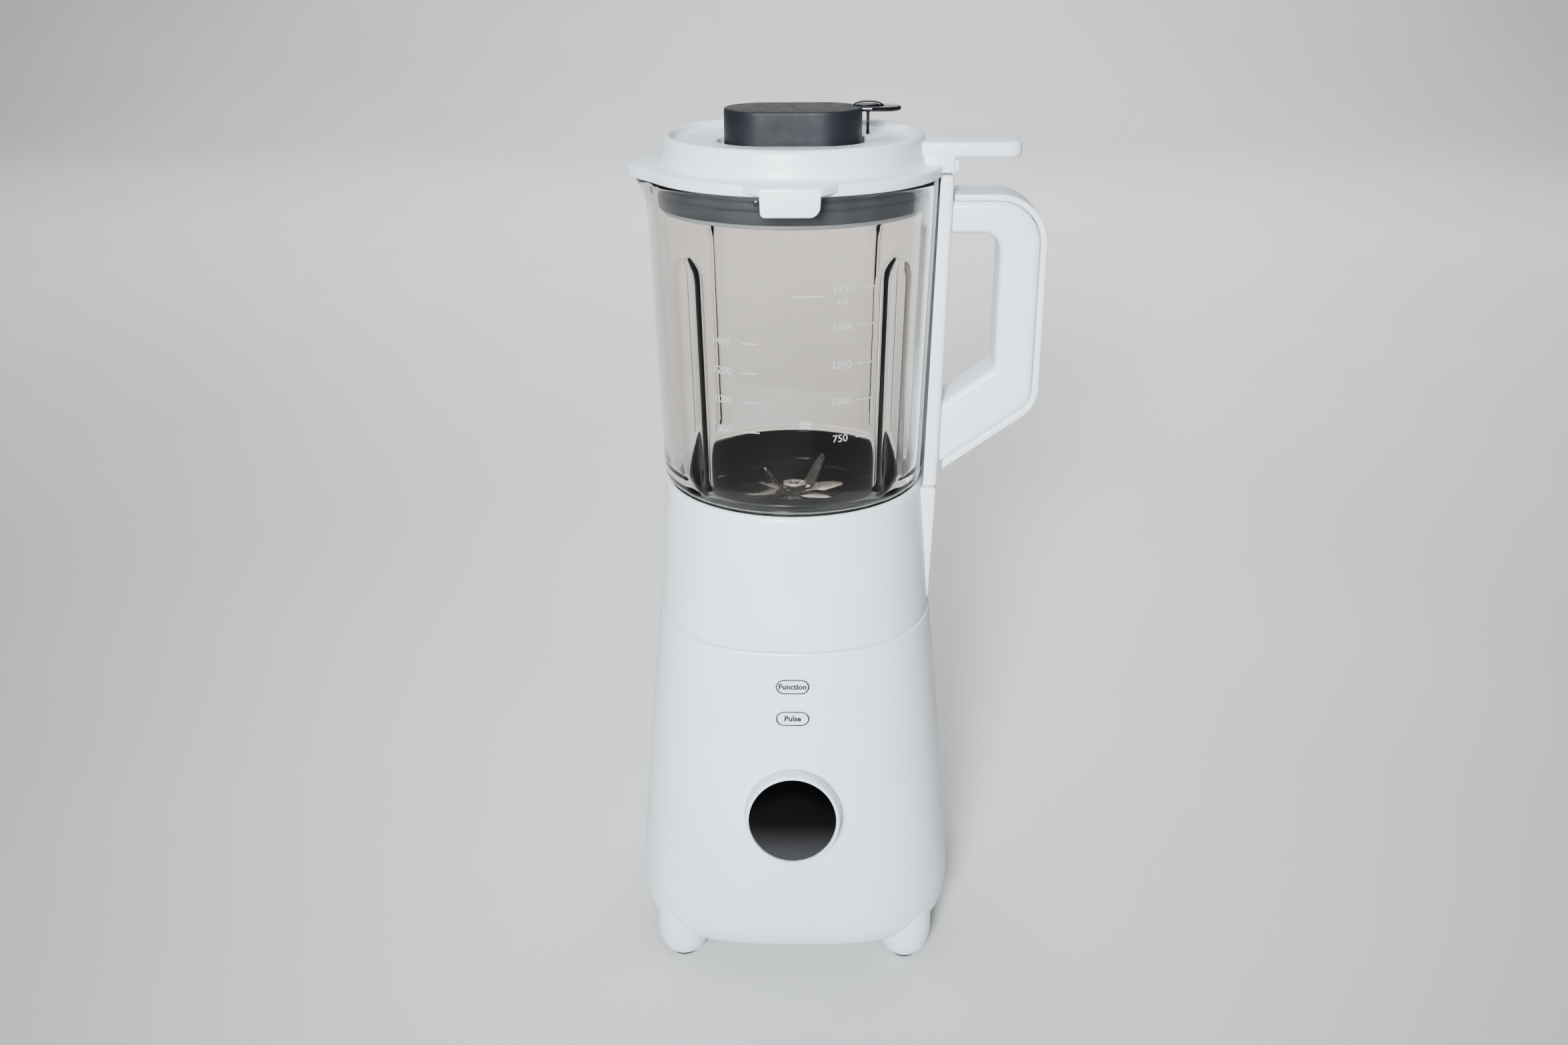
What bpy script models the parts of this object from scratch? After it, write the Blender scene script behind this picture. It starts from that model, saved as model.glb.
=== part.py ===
"""Countertop blender with a heated glass jug, a locking lid and a measuring cap.

Dimensions are millimetres above the worktop and from the drive axis; MM turns them into metres.
The origin is the centre of the object's footprint, +Z is up and -Y is the front with the knob.
"""

import math

import bmesh
import bpy
from mathutils import Matrix, Vector

MM = 0.001
GAP = 0.3

# Motor base
SEAM_Z = 193.0
BASE_BOTTOM_Z = 16.0
BASE_SECTIONS = [
    # height, half width, squareness
    (16.0, 79.0, 3.4),
    (19.0, 82.0, 3.4),
    (24.0, 84.6, 3.4),
    (30.0, 86.4, 3.4),
    (37.0, 87.0, 3.4),
    (60.0, 85.5, 3.2),
    (107.0, 81.6, 2.9),
    (150.0, 77.6, 2.6),
    (193.0, 73.0, 2.4),
]
BASE_WALL = 2.5
SPIGOT_R = 62.0
SPIGOT_Z = 203.0
WELL_R = 24.0
WELL_Z = 186.0
SHAFT_R = 4.0
FOOT_PITCH = 61.5
FOOT_R = 14.4
PAD_R = 7.6
COVER_HALF = 75.8
SCREW_PITCH = 40.0
GLAND_Z = 40.0
GLAND_TIP_Y = 94.0

# Motor and couplings
STATOR_R = (21.0, 34.0)
ARMATURE_R = 20.2
BEARING_R = 11.0
LOWER_BRACKET_Z = 57.0
UPPER_BRACKET_Z = 135.0
BRACKET = 3.0
POST_X = 38.0
COUPLING_R = 16.5
DOG_COUNT = 6

# Knob with its fixed display
KNOB_Y = -93.0
KNOB_Z = 106.0
KNOB_TILT = math.radians(10.0)
KNOB_R = 24.4
WINDOW_R = 22.0
KNOB_LENGTH = 8.6
BOSS_R = 25.6
CORE_R = 18.0

# Touch-sized push buttons
BUTTON_WIDTH = 17.2
BUTTON_HEIGHT = 7.8
FUNCTION_Z = 175.0
PULSE_Z = 157.5

# Jug
COLLAR_SECTIONS = [
    (193.5, 73.0, 2.4),
    (215.0, 71.6, 2.25),
    (240.0, 69.8, 2.1),
    (265.0, 68.0, 2.0),
]
COLLAR_WALL = 2.4
COLLAR_TOP_Z = 265.0
GLASS_TOP_Z = 420.6
GLASS_WALL = 4.6
NECK_Z = 266.5
NECK_R = 64.9
RIB_TOP_Z = 388.0
RIB_DEPTH = 2.6
SPOUT = 7.0
COLUMN_HALF = 18.0
COLUMN_TOP_Z = 421.6
PIN_X = 75.0
PIN_Y = 13.0
PIN_R = 1.5
HANDLE_X = 124.5
HANDLE_HALF = 14.0
HANDLE_TOP_Z = 412.0
STRIP = 3.5

# Lid and cap
FLANGE_Z = 422.6
FLANGE_TOP_Z = 426.4
FLANGE_R = 73.6
SPOUT_TIP = 82.0
DRUM_R = 63.6
DRUM_TOP_Z = 440.0
RECESS_Z = 436.4
ARM_END_X = 109.5
ARM_TOP_Z = 437.2
ARM_LOW_Z = 429.6
ARM_HALF = 18.0
BLOCK_X = 77.6
HOOK_HALF = 13.2
HOOK_LOW_Z = 413.4
OPENING = (74.0, 47.0)
CAP = (67.0, 40.0)
LEDGE = (61.0, 34.0)
PLUG = (60.0, 33.0)
CAP_SEAT_Z = 428.4
CAP_TOP_Z = 451.6
PLUG_LOW_Z = 414.0
TAB_END_X = 52.5
TAB_Y = 6.0

# Middle of the footprint, from the base, handle, knob and rear gland
KNOB_FRONT_Y = KNOB_Y - KNOB_R * math.sin(KNOB_TILT)
BASE_HALF = max(half for _, half, _ in BASE_SECTIONS)
AXIS_X = (BASE_HALF - HANDLE_X) / 2
AXIS_Y = -(KNOB_FRONT_Y + GLAND_TIP_Y) / 2

WHITE = ("white_plastic", (0.78, 0.80, 0.82), 0.42, 0.0)
SLATE = ("slate_plastic", (0.06, 0.07, 0.08), 0.45, 0.0)
BLACK = ("black_gloss", (0.01, 0.01, 0.012), 0.15, 0.0)
RUBBER = ("grey_rubber", (0.18, 0.19, 0.20), 0.7, 0.0)
GLASS = ("clear_glass", (0.9, 0.92, 0.9), 0.02, 0.0)
STEEL = ("steel", (0.6, 0.58, 0.55), 0.2, 1.0)
COPPER = ("copper", (0.6, 0.3, 0.15), 0.35, 1.0)
BOARD = ("circuit_board", (0.05, 0.2, 0.08), 0.5, 0.0)

SIDES = 36


# ---------------------------------------------------------------- helpers


def clear_scene():
    for item in list(bpy.data.objects):
        bpy.data.objects.remove(item, do_unlink=True)


def new_collection(name):
    made = bpy.data.collections.new(name)
    bpy.context.scene.collection.children.link(made)
    return made


def material(spec):
    name, colour, roughness, metallic = spec
    made = bpy.data.materials.get(name)
    if made is None:
        made = bpy.data.materials.new(name)
        made.use_nodes = True
        shader = made.node_tree.nodes["Principled BSDF"]
        shader.inputs["Base Color"].default_value = (*colour, 1.0)
        shader.inputs["Roughness"].default_value = roughness
        shader.inputs["Metallic"].default_value = metallic
    return made


def place(name, data, spec=None, at=(0, 0, 0), turn=(0, 0, 0)):
    """Link an object: a part when it has a material, otherwise a cutter."""
    item = bpy.data.objects.new(name, data)
    item.parent = ROOT
    item.location = Vector(at) * MM
    item.rotation_euler = turn
    if spec is None:
        CUTTERS.objects.link(item)
        item.hide_render = True
        item.display_type = "WIRE"
    else:
        PARTS.objects.link(item)
        data.materials.append(material(spec))
    return item


def mesh_from(bm, name, smooth_angle=35.0):
    mesh = bpy.data.meshes.new(name)
    bm.to_mesh(mesh)
    bm.free()
    mesh.shade_smooth()
    mesh.set_sharp_from_angle(angle=math.radians(smooth_angle))
    return mesh


def box(name, low, high, spec=None, at=(0, 0, 0), turn=(0, 0, 0)):
    size = Vector(high) - Vector(low)
    middle = (Vector(high) + Vector(low)) / 2
    bm = bmesh.new()
    bmesh.ops.create_cube(bm, size=1.0)
    bmesh.ops.scale(bm, vec=size * MM, verts=bm.verts)
    bmesh.ops.translate(bm, vec=middle * MM, verts=bm.verts)
    return place(name, mesh_from(bm, name), spec, at, turn)


def rod(name, radius, low, high, spec=None, at=(0, 0, 0), turn=(0, 0, 0), sides=24):
    bm = bmesh.new()
    bmesh.ops.create_cone(
        bm, cap_ends=True, segments=sides, radius1=radius * MM, radius2=radius * MM,
        depth=(high - low) * MM)
    bmesh.ops.translate(bm, vec=Vector((0, 0, (high + low) / 2)) * MM, verts=bm.verts)
    return place(name, mesh_from(bm, name), spec, at, turn)


def turned(name, profile, spec=None, at=(0, 0, 0), turn=(0, 0, 0), sides=SIDES, ring=False):
    """Revolve a radius-height profile that runs out along its top and down its outer side."""
    mesh = bpy.data.meshes.new(name)
    points = [Vector((radius, 0, height)) * MM for radius, height in profile]
    edges = [(i, i + 1) for i in range(len(points) - 1)]
    if ring:
        edges.append((len(points) - 1, 0))
    mesh.from_pydata(points, edges, [])
    item = place(name, mesh, spec, at, turn)
    screw = item.modifiers.new("Turn", "SCREW")
    screw.steps = sides
    screw.render_steps = sides
    screw.use_merge_vertices = True
    screw.merge_threshold = 0.00001
    return item


def washer(name, inner, outer, low, high, spec=None, at=(0, 0, 0), turn=(0, 0, 0), sides=SIDES):
    profile = [(inner, high), (outer, high), (outer, low), (inner, low)]
    return turned(name, profile, spec, at, turn, sides, ring=True)


def superellipse(half, squareness, angle):
    c = abs(math.cos(angle)) ** squareness
    s = abs(math.sin(angle)) ** squareness
    return half / (c + s) ** (1 / squareness)


def loft(name, heights, radius_at, spec=None, closed=False, wall=0.0, sides=SIDES):
    """Skin rings whose radius is radius_at(ring index, angle); walls thicken inwards."""
    bm = bmesh.new()
    rings = []
    for index, height in enumerate(heights):
        ring = []
        for side in range(sides):
            angle = 2 * math.pi * side / sides
            radius = radius_at(index, angle)
            point = Vector((radius * math.cos(angle), radius * math.sin(angle), height))
            ring.append(bm.verts.new(point * MM))
        rings.append(ring)
    for low, high in zip(rings, rings[1:]):
        for side in range(sides):
            after = (side + 1) % sides
            bm.faces.new((low[side], low[after], high[after], high[side]))
    if closed:
        bm.faces.new(list(reversed(rings[0])))
        bm.faces.new(rings[-1])
    item = place(name, mesh_from(bm, name), spec)
    if wall:
        thick = item.modifiers.new("Wall", "SOLIDIFY")
        thick.thickness = wall * MM
        thick.offset = -1.0
        thick.use_even_offset = True
    return item


def section_loft(name, sections, spec=None, grow=0.0, **options):
    heights = [height for height, _, _ in sections]

    def radius_at(index, angle):
        _, half, squareness = sections[index]
        return superellipse(half + grow, squareness, angle)

    return loft(name, heights, radius_at, spec, **options)


def rounded(corners, steps=5):
    """Outline through (x, y, radius) corners, each corner an arc."""
    points = []
    count = len(corners)
    for index, (x, y, radius) in enumerate(corners):
        here = Vector((x, y))
        if radius == 0:
            points.append(here)
            continue
        before = (Vector(corners[index - 1][:2]) - here).normalized()
        after = (Vector(corners[(index + 1) % count][:2]) - here).normalized()
        half = math.acos(max(-1.0, min(1.0, before.dot(after)))) / 2
        reach = radius / math.tan(half)
        centre = here + (before + after).normalized() * radius / math.sin(half)
        start = here + before * reach - centre
        sweep = start.angle_signed(here + after * reach - centre)
        for step in range(steps + 1):
            turned_by = Matrix.Rotation(-sweep * step / steps, 2)
            points.append(centre + turned_by @ start)
    return points


def plate(name, points, low, high, spec=None, upright=False):
    """Flat outline from low to high along Z, or along Y when upright (outline in X and Z)."""
    curve = bpy.data.curves.new(name, "CURVE")
    curve.dimensions = "2D"
    curve.fill_mode = "BOTH"
    curve.extrude = (high - low) / 2 * MM
    line = curve.splines.new("POLY")
    line.points.add(len(points) - 1)
    for spot, point in zip(line.points, points):
        spot.co = (point[0] * MM, point[1] * MM, 0, 1)
    line.use_cyclic_u = True
    draft = bpy.data.objects.new(name + "_outline", curve)
    bpy.context.scene.collection.objects.link(draft)
    bpy.context.view_layer.update()
    evaluated = draft.evaluated_get(bpy.context.evaluated_depsgraph_get())
    mesh = bpy.data.meshes.new_from_object(evaluated)
    bpy.data.objects.remove(draft, do_unlink=True)
    bm = bmesh.new()
    bm.from_mesh(mesh)
    bpy.data.meshes.remove(mesh)
    bmesh.ops.remove_doubles(bm, verts=bm.verts, dist=0.00001)
    bmesh.ops.recalc_face_normals(bm, faces=bm.faces)
    middle = (low + high) / 2 * MM
    if upright:
        bmesh.ops.rotate(bm, matrix=Matrix.Rotation(math.pi / 2, 3, "X"), verts=bm.verts)
        bmesh.ops.translate(bm, vec=(0, middle, 0), verts=bm.verts)
    else:
        bmesh.ops.translate(bm, vec=(0, 0, middle), verts=bm.verts)
    return place(name, mesh_from(bm, name), spec)


def obround(size, middle=(0, 0), steps=8):
    """Slot outline: straight sides closed by half circles."""
    length, width = size
    radius = width / 2
    reach = length / 2 - radius
    points = []
    for centre, start in ((reach, -math.pi / 2), (-reach, math.pi / 2)):
        for step in range(steps + 1):
            angle = start + math.pi * step / steps
            x = middle[0] + centre + radius * math.cos(angle)
            points.append((x, middle[1] + radius * math.sin(angle)))
    return points


def combine(item, tool, operation):
    change = item.modifiers.new(operation.title(), "BOOLEAN")
    change.operation = operation
    change.object = tool
    change.solver = "EXACT"


def cut(item, *tools):
    for tool in tools:
        combine(item, tool, "DIFFERENCE")


def join(item, *tools):
    for tool in tools:
        combine(item, tool, "UNION")


# ---------------------------------------------------------------- motor base


def wall_half(height):
    """Half width of the motor base at a height."""
    for (z0, half0, _), (z1, half1, _) in zip(BASE_SECTIONS, BASE_SECTIONS[1:]):
        if z0 <= height <= z1:
            return half0 + (half1 - half0) * (height - z0) / (z1 - z0)
    return BASE_SECTIONS[-1][1]


def button_slot(height, grow):
    size = (BUTTON_WIDTH + 2 * grow, BUTTON_HEIGHT + 2 * grow)
    return obround(size, (0, height), steps=5)


def build_base_housing():
    deck = [
        (SEAM_Z, SPIGOT_R, 2.0),
        (SPIGOT_Z, SPIGOT_R, 2.0),
        (SPIGOT_Z, WELL_R, 2.0),
        (WELL_Z, WELL_R, 2.0),
        (WELL_Z, SHAFT_R + 3.0, 2.0),
    ]
    housing = section_loft("base_housing", BASE_SECTIONS + deck, WHITE, wall=BASE_WALL)
    boss = turned(
        "knob_boss", [(0, -KNOB_LENGTH - GAP), (BOSS_R, -KNOB_LENGTH - GAP), (BOSS_R + 1.0, -16.0),
                      (0, -16.0)],
        at=(0, KNOB_Y, KNOB_Z), turn=(math.pi / 2 - KNOB_TILT, 0, 0), sides=24)
    bore = rod("knob_bore", CORE_R + 0.6, -30, 10, at=(0, KNOB_Y, KNOB_Z),
               turn=(math.pi / 2 - KNOB_TILT, 0, 0), sides=24)
    function_slot = plate("function_slot", button_slot(FUNCTION_Z, 0.35), -90, -60, upright=True)
    pulse_slot = plate("pulse_slot", button_slot(PULSE_Z, 0.35), -90, -60, upright=True)
    gland_hole = rod("gland_hole", 6.3, -100, -70, at=(0, 0, GLAND_Z), turn=(math.pi / 2, 0, 0))
    socket_hole = box("socket_hole", (-14, 34, 195), (14, 48, 210))
    join(housing, boss)
    cut(housing, bore, function_slot, pulse_slot, gland_hole, socket_hole)


def build_bottom_cover():
    sections = [(BASE_BOTTOM_Z, COVER_HALF, 3.4), (BASE_BOTTOM_Z + 3.0, COVER_HALF + 0.8, 3.4)]
    cover = section_loft("bottom_cover", sections, WHITE, closed=True)
    for index in range(5):
        y = -24 + 12 * index
        cut(cover, plate(f"vent_slot_{index}", obround((44, 4), (0, y), steps=3), 10, 25))
    for x, y in corners(SCREW_PITCH):
        cut(cover, rod("cover_screw_hole", 2.0, 10, 25, at=(x, y, 0), sides=12))


def corners(pitch):
    return [(-pitch, -pitch), (pitch, -pitch), (-pitch, pitch), (pitch, pitch)]


def build_feet():
    body = section_loft("housing_space", BASE_SECTIONS, grow=GAP, closed=True)
    body.location.z = -GAP * MM
    profile = [(0, 35), (11, 35), (FOOT_R, 28), (FOOT_R, 14), (13.4, 8), (11, 4), (9, 2.3), (0, 2.3)]
    for index, (x, y) in enumerate(corners(FOOT_PITCH), start=1):
        foot = turned(f"foot_{index}", profile, WHITE, at=(x, y, 0), sides=20)
        cut(foot, body)
        rod(f"foot_pad_{index}", PAD_R, 0, 2.0, RUBBER, at=(x, y, 0), sides=16)
    for index, (x, y) in enumerate(corners(SCREW_PITCH), start=1):
        head = [(0, 27), (1.6, 27), (1.6, 15.7), (3.6, 15.7), (3.6, 13.6), (0, 13.6)]
        turned(f"cover_screw_{index}", head, STEEL, at=(x, y, 0), sides=12)


def build_gland():
    outer = wall_half(GLAND_Z) + GAP
    profile = [
        (3.2, -80), (6.0, -80), (6.0, -outer), (9.0, -outer), (9.0, -outer - 2.4),
        (6.4, -GLAND_TIP_Y), (3.2, -GLAND_TIP_Y)]
    turned("cord_gland", profile, RUBBER, at=(0, 0, GLAND_Z), turn=(math.pi / 2, 0, 0),
           sides=24, ring=True)


def build_knob():
    place_knob = {"at": (0, KNOB_Y, KNOB_Z), "turn": (math.pi / 2 - KNOB_TILT, 0, 0), "sides": 32}
    turned("knob_ring", [
        (WINDOW_R + 0.3, 0), (KNOB_R, 0), (BOSS_R - 0.2, -KNOB_LENGTH), (20.0, -KNOB_LENGTH),
        (20.0, -4.0), (WINDOW_R + 0.3, -4.0)], WHITE, ring=True, **place_knob)
    turned("display_window", [(0, -0.4), (WINDOW_R, -0.4), (WINDOW_R, -2.4), (0, -2.4)], BLACK,
           **place_knob)
    turned("display_core", [(0, -2.7), (CORE_R, -2.7), (CORE_R, -24.0), (0, -24.0)], SLATE,
           **place_knob)


def build_buttons():
    for name, height in (("function_button", FUNCTION_Z), ("pulse_button", PULSE_Z)):
        front = -wall_half(height)
        slope = wall_half(height - 10) - wall_half(height + 10)
        lean = math.atan2(slope, 20)
        face = plate(name, button_slot(height, 0.0), front - 3, front + 4, WHITE, upright=True)
        shave = box(name + "_shave", (-20, -10, -20), (20, 0, 20), at=(0, front, height),
                    turn=(-lean, 0, 0))
        cut(face, shave)
    box("control_board", (-24, -66.0, 146), (24, -64.4, 186), BOARD)


def build_motor():
    washer("motor_stator", STATOR_R[0], STATOR_R[1], 92, 124, STEEL, sides=24)
    turned("motor_rotor", [
        (0, 192), (SHAFT_R, 192), (SHAFT_R, 126), (ARMATURE_R, 126), (ARMATURE_R, 90),
        (SHAFT_R, 90), (SHAFT_R, 52), (0, 52)], COPPER, sides=24)
    for side, low in (("lower", LOWER_BRACKET_Z), ("upper", UPPER_BRACKET_Z)):
        washer(f"{side}_bearing", SHAFT_R + 0.1, BEARING_R, low + 1, low + 8, STEEL, sides=24)
        bracket = box(f"{side}_bracket", (-42, -12, low), (42, 12, low + BRACKET), STEEL)
        cut(bracket, rod(f"{side}_seat", BEARING_R + GAP, low - 5, low + 15, sides=24))
        washer(f"{side}_bearing_cup", BEARING_R + GAP, 14.0, low + BRACKET + GAP, low + 9, STEEL,
               sides=24)
    washer("cooling_fan", SHAFT_R + GAP, 30, 72, 80, SLATE, sides=24)
    for side, x in (("left", -POST_X), ("right", POST_X)):
        rod(f"motor_post_{side}", 3.0, LOWER_BRACKET_Z + BRACKET + GAP, UPPER_BRACKET_Z - GAP, STEEL,
            at=(x, 0, 0), sides=16)


def add_dogs(item, name, low, high, offset, inner=8.0, outer=15.0):
    for index in range(DOG_COUNT):
        angle = math.radians(360 / DOG_COUNT * index + offset)
        dog = box(f"{name}_{index}", (inner, -2, low), (outer, 2, high), turn=(0, 0, angle))
        join(item, dog)


def build_couplings():
    drive = washer("drive_coupling", SHAFT_R + GAP, COUPLING_R, 188.5, 195, SLATE, sides=24)
    add_dogs(drive, "drive_dog", 194, 200, 0)
    driven = washer("driven_coupling", SHAFT_R + GAP, COUPLING_R, 201, 207, SLATE, sides=24)
    add_dogs(driven, "driven_dog", 196, 202, 180 / DOG_COUNT)
    box("base_connector", (-13.4, 34.6, 196), (13.4, 47.4, 206.5), SLATE)


# ---------------------------------------------------------------- jug


def glass_radius(height):
    """Outer radius of the glass wall."""
    if height < NECK_Z:
        return NECK_R
    return 68.2 + (72.6 - 68.2) * (height - NECK_Z) / (GLASS_TOP_Z - NECK_Z)


def bump(angle, centre, half):
    """Smooth bump, one at its centre and zero beyond half an angle away."""
    away = abs((angle - centre + math.pi) % (2 * math.pi) - math.pi)
    if away >= half:
        return 0.0
    return 0.5 + 0.5 * math.cos(math.pi * away / half)


def build_glass():
    heights = [246, 266, 267, 285, 340, 378, 389, 404, 411, 417, GLASS_TOP_Z]
    pour = {404: 0.0, 411: 0.45, 417: 0.85, GLASS_TOP_Z: 1.0}

    def radius_at(index, angle):
        height = heights[index]
        radius = glass_radius(height)
        if NECK_Z < height < RIB_TOP_Z:
            rib = max(bump(angle, math.radians(45 + 90 * k), math.radians(8)) for k in range(4))
            radius -= RIB_DEPTH * rib
        return radius + SPOUT * pour.get(height, 0.0) * bump(angle, math.pi, math.radians(24))

    loft("glass_jug", heights, radius_at, GLASS, wall=GLASS_WALL, sides=64)


def column_outline(inner_x):
    return [(inner_x, 261.6), (74.4, 261.6), (77.6, COLUMN_TOP_Z), (inner_x, COLUMN_TOP_Z)]


def build_collar():
    collar = section_loft("jug_collar", COLLAR_SECTIONS, WHITE, wall=COLLAR_WALL)
    outline = [(60, 200), (72.2, 200), (74.3, 261.3), (60, 261.3)]
    wedge = plate("wedge", outline, -COLUMN_HALF, COLUMN_HALF, upright=True)
    grow = -COLLAR_WALL / 2
    inside = section_loft("collar_inside", [
        (190, 73, 2.4), *COLLAR_SECTIONS[:-1], (270, 67.6, 2.0)], grow=grow, closed=True)
    cut(wedge, inside)
    join(collar, wedge)
    base = section_loft("collar_base", [(204.4, 69.2, 2.33), (207.4, 69.0, 2.33)], WHITE,
                        closed=True)
    cut(base, rod("coupling_hole", 22.0, 200, 212, sides=24))
    cut(base, box("connector_hole", (-14, 34, 200), (14, 48, 212)))
    box("jug_connector", (-17, 31, 207.8), (17, 51, 217), SLATE)
    for index in range(3):
        angle = math.radians(90 + 120 * index)
        x, y = 60 * math.cos(angle), 60 * math.sin(angle)
        cut(base, rod("collar_screw_hole", 2.0, 200, 212, at=(x, y, 0), sides=12))
        turned(f"collar_screw_{index + 1}", [
            (0, 216), (1.6, 216), (1.6, 204.1), (2.6, 204.1), (2.6, 203.4), (0, 203.4)], STEEL,
            at=(x, y, 0), sides=12)


def build_dish():
    turned("heater_dish", [
        (7.4, 247), (55, 247), (57.6, 250), (57.6, 261.6), (59.8, 261.6), (59.8, 245.6), (64, 245.6),
        (64, 242.5), (7.4, 242.5)], SLATE, sides=SIDES, ring=True)
    washer("jug_seal", 57.6, 59.8, 261.9, 271.4, RUBBER)
    turned("blade_bearing", [
        (SHAFT_R + 0.1, 250.4), (8.6, 250.4), (12, 248.6), (12, 247.3), (7.1, 247.3), (7.1, 236),
        (SHAFT_R + 0.1, 236)], STEEL, sides=24, ring=True)
    washer("bearing_nut", 8.6, 14, 236, 242.2, STEEL, sides=6)


def blade_outline(reach, root, tip):
    """Two mirrored arms, each sharpened to a slanted tip."""
    arm = [(9, -root / 2), (reach * 0.8, -tip * 0.9), (reach, tip * 0.5), (reach * 0.86, tip),
           (9, root / 2)]
    return arm + [(-x, -y) for x, y in arm]


def bent_blade(name, outline, low, thickness, fold_x, rise, turn):
    """Blade blank folded up at both sides of the hub."""
    blade = plate(name, outline, low, low + thickness, STEEL)
    bm = bmesh.new()
    bm.from_mesh(blade.data)
    for side in (-1, 1):
        edge = Vector((side * fold_x, 0, 0)) * MM
        cut_geometry = bm.verts[:] + bm.edges[:] + bm.faces[:]
        bmesh.ops.bisect_plane(bm, geom=cut_geometry, plane_co=edge, plane_no=(1, 0, 0))
        outer = [v for v in bm.verts if v.co.x * side > (fold_x + 0.01) * MM]
        hinge = edge + Vector((0, 0, low * MM))
        bmesh.ops.rotate(bm, cent=hinge, matrix=Matrix.Rotation(-side * rise, 3, "Y"),
                         verts=outer)
    bmesh.ops.triangulate(bm, faces=bm.faces)
    bm.to_mesh(blade.data)
    bm.free()
    blade.rotation_euler.z = turn
    cut(blade, rod(name + "_bore", SHAFT_R + 0.2, 240, 270, sides=20))
    return blade


def build_blades():
    turned("blade_shaft", [
        (0, 259.4), (2.6, 259.4), (3.8, 258.3), (3.8, 200.6), (0, 200.6)], STEEL, sides=24)
    bent_blade("cross_blade", blade_outline(26, 10, 4), 251.0, 1.2, 10, math.radians(2),
               math.radians(-42))
    bent_blade("lower_blade", blade_outline(30, 10, 4), 252.5, 1.2, 10, math.radians(3),
               math.radians(24))
    bent_blade("upper_blade", blade_outline(27, 9, 4), 254.0, 1.2, 8, math.radians(60),
               math.radians(31))
    washer("blade_nut", 4.6, 7.2, 255.5, 258.2, STEEL, sides=6)


def build_handle():
    column = plate("handle_body", column_outline(60), -COLUMN_HALF, COLUMN_HALF, WHITE,
                   upright=True)
    cover_x = HANDLE_X - STRIP
    body_x = cover_x - GAP
    grip = rounded([
        (74, HANDLE_TOP_Z - STRIP - GAP, 0), (body_x, HANDLE_TOP_Z - STRIP - GAP, 21),
        (body_x, 306.5, 13), (74, 272.8, 0), (74, 305, 0), (101.5, 325.0, 4), (101.5, 393, 9),
        (74, 393, 0)])
    bars = plate("handle_bars", grip, -HANDLE_HALF, HANDLE_HALF, upright=True)
    glass_space = turned("glass_space", [
        (0, 430), (73.3, 430), (73.3, GLASS_TOP_Z), (glass_radius(266.6) + 0.6, 266.6),
        (68.6, 250), (0, 250)], sides=64)
    pin_hole = rod("pin_hole", PIN_R + GAP, 400, 430, at=(PIN_X, PIN_Y, 0), sides=16)
    join(column, bars)
    cut(column, glass_space, pin_hole)
    outer = [
        (78.2, HANDLE_TOP_Z, 0), (HANDLE_X, HANDLE_TOP_Z, 25), (HANDLE_X, 304.5, 16.5),
        (77, 270.3, 0)]
    inner = [
        (77, 274.6, 0), (cover_x, 306.3, 13), (cover_x, HANDLE_TOP_Z - STRIP, 21.5),
        (78.2, HANDLE_TOP_Z - STRIP, 0)]
    plate("handle_cover", rounded(outer + inner), -HANDLE_HALF, HANDLE_HALF, WHITE, upright=True)


# ---------------------------------------------------------------- lid


def build_lid():
    def flange_radius(_, angle):
        return FLANGE_R + (SPOUT_TIP - FLANGE_R) * bump(angle, math.pi, math.radians(30))

    lid = loft("lid_body", [FLANGE_Z, FLANGE_TOP_Z], flange_radius, WHITE, closed=True, sides=72)
    drum = turned("drum", [
        (0, DRUM_TOP_Z), (DRUM_R - 1, DRUM_TOP_Z), (DRUM_R, DRUM_TOP_Z - 1),
        (DRUM_R + 0.8, FLANGE_Z + 1), (0, FLANGE_Z + 1)])
    arm = box("arm", (50, -ARM_HALF, ARM_LOW_Z), (ARM_END_X, ARM_HALF, ARM_TOP_Z))
    block = box("block", (50, -ARM_HALF + 0.2, FLANGE_Z), (BLOCK_X, ARM_HALF - 0.2, ARM_LOW_Z + 1))
    hook = box("hook", (-HOOK_HALF, -80, HOOK_LOW_Z), (HOOK_HALF, -73.9, FLANGE_TOP_Z - 0.2))
    bridge = box("hook_bridge", (-HOOK_HALF, -79.9, FLANGE_Z), (HOOK_HALF, -60, FLANGE_TOP_Z - 0.3))
    recess = rod("recess", DRUM_R - 4.4, RECESS_Z, 460, sides=SIDES)
    hollow = rod("hollow", DRUM_R - 2.2, 410, RECESS_Z - 3.0, sides=SIDES)
    well = plate("well", obround((80, 53)), FLANGE_Z, RECESS_Z - 0.5)
    opening = plate("opening", obround(OPENING), CAP_SEAT_Z, 460)
    ledge = plate("ledge", obround(LEDGE), 410, 460)
    join(lid, drum, arm, block, hook, bridge)
    cut(lid, recess, hollow)
    join(lid, well)
    cut(lid, opening, ledge)


def build_lid_seal():
    turned("gasket_carrier", [
        (44, FLANGE_Z - GAP), (60.8, FLANGE_Z - GAP), (63.8, 420.8), (63.8, 405.4), (61.6, 405.4),
        (61.6, 419.6), (44, 419.6)], WHITE, ring=True)
    lips = [(64.1, 420.6), (66.2, 420.6), (67.0, 419.4), (66.2, 418.0), (65.4, 417.2),
            (66.8, 415.4), (66.0, 413.8), (65.4, 413.2), (66.8, 411.6), (66.2, 408.0),
            (64.1, 407.6)]
    turned("lid_gasket", lips, RUBBER, ring=True)


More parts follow.
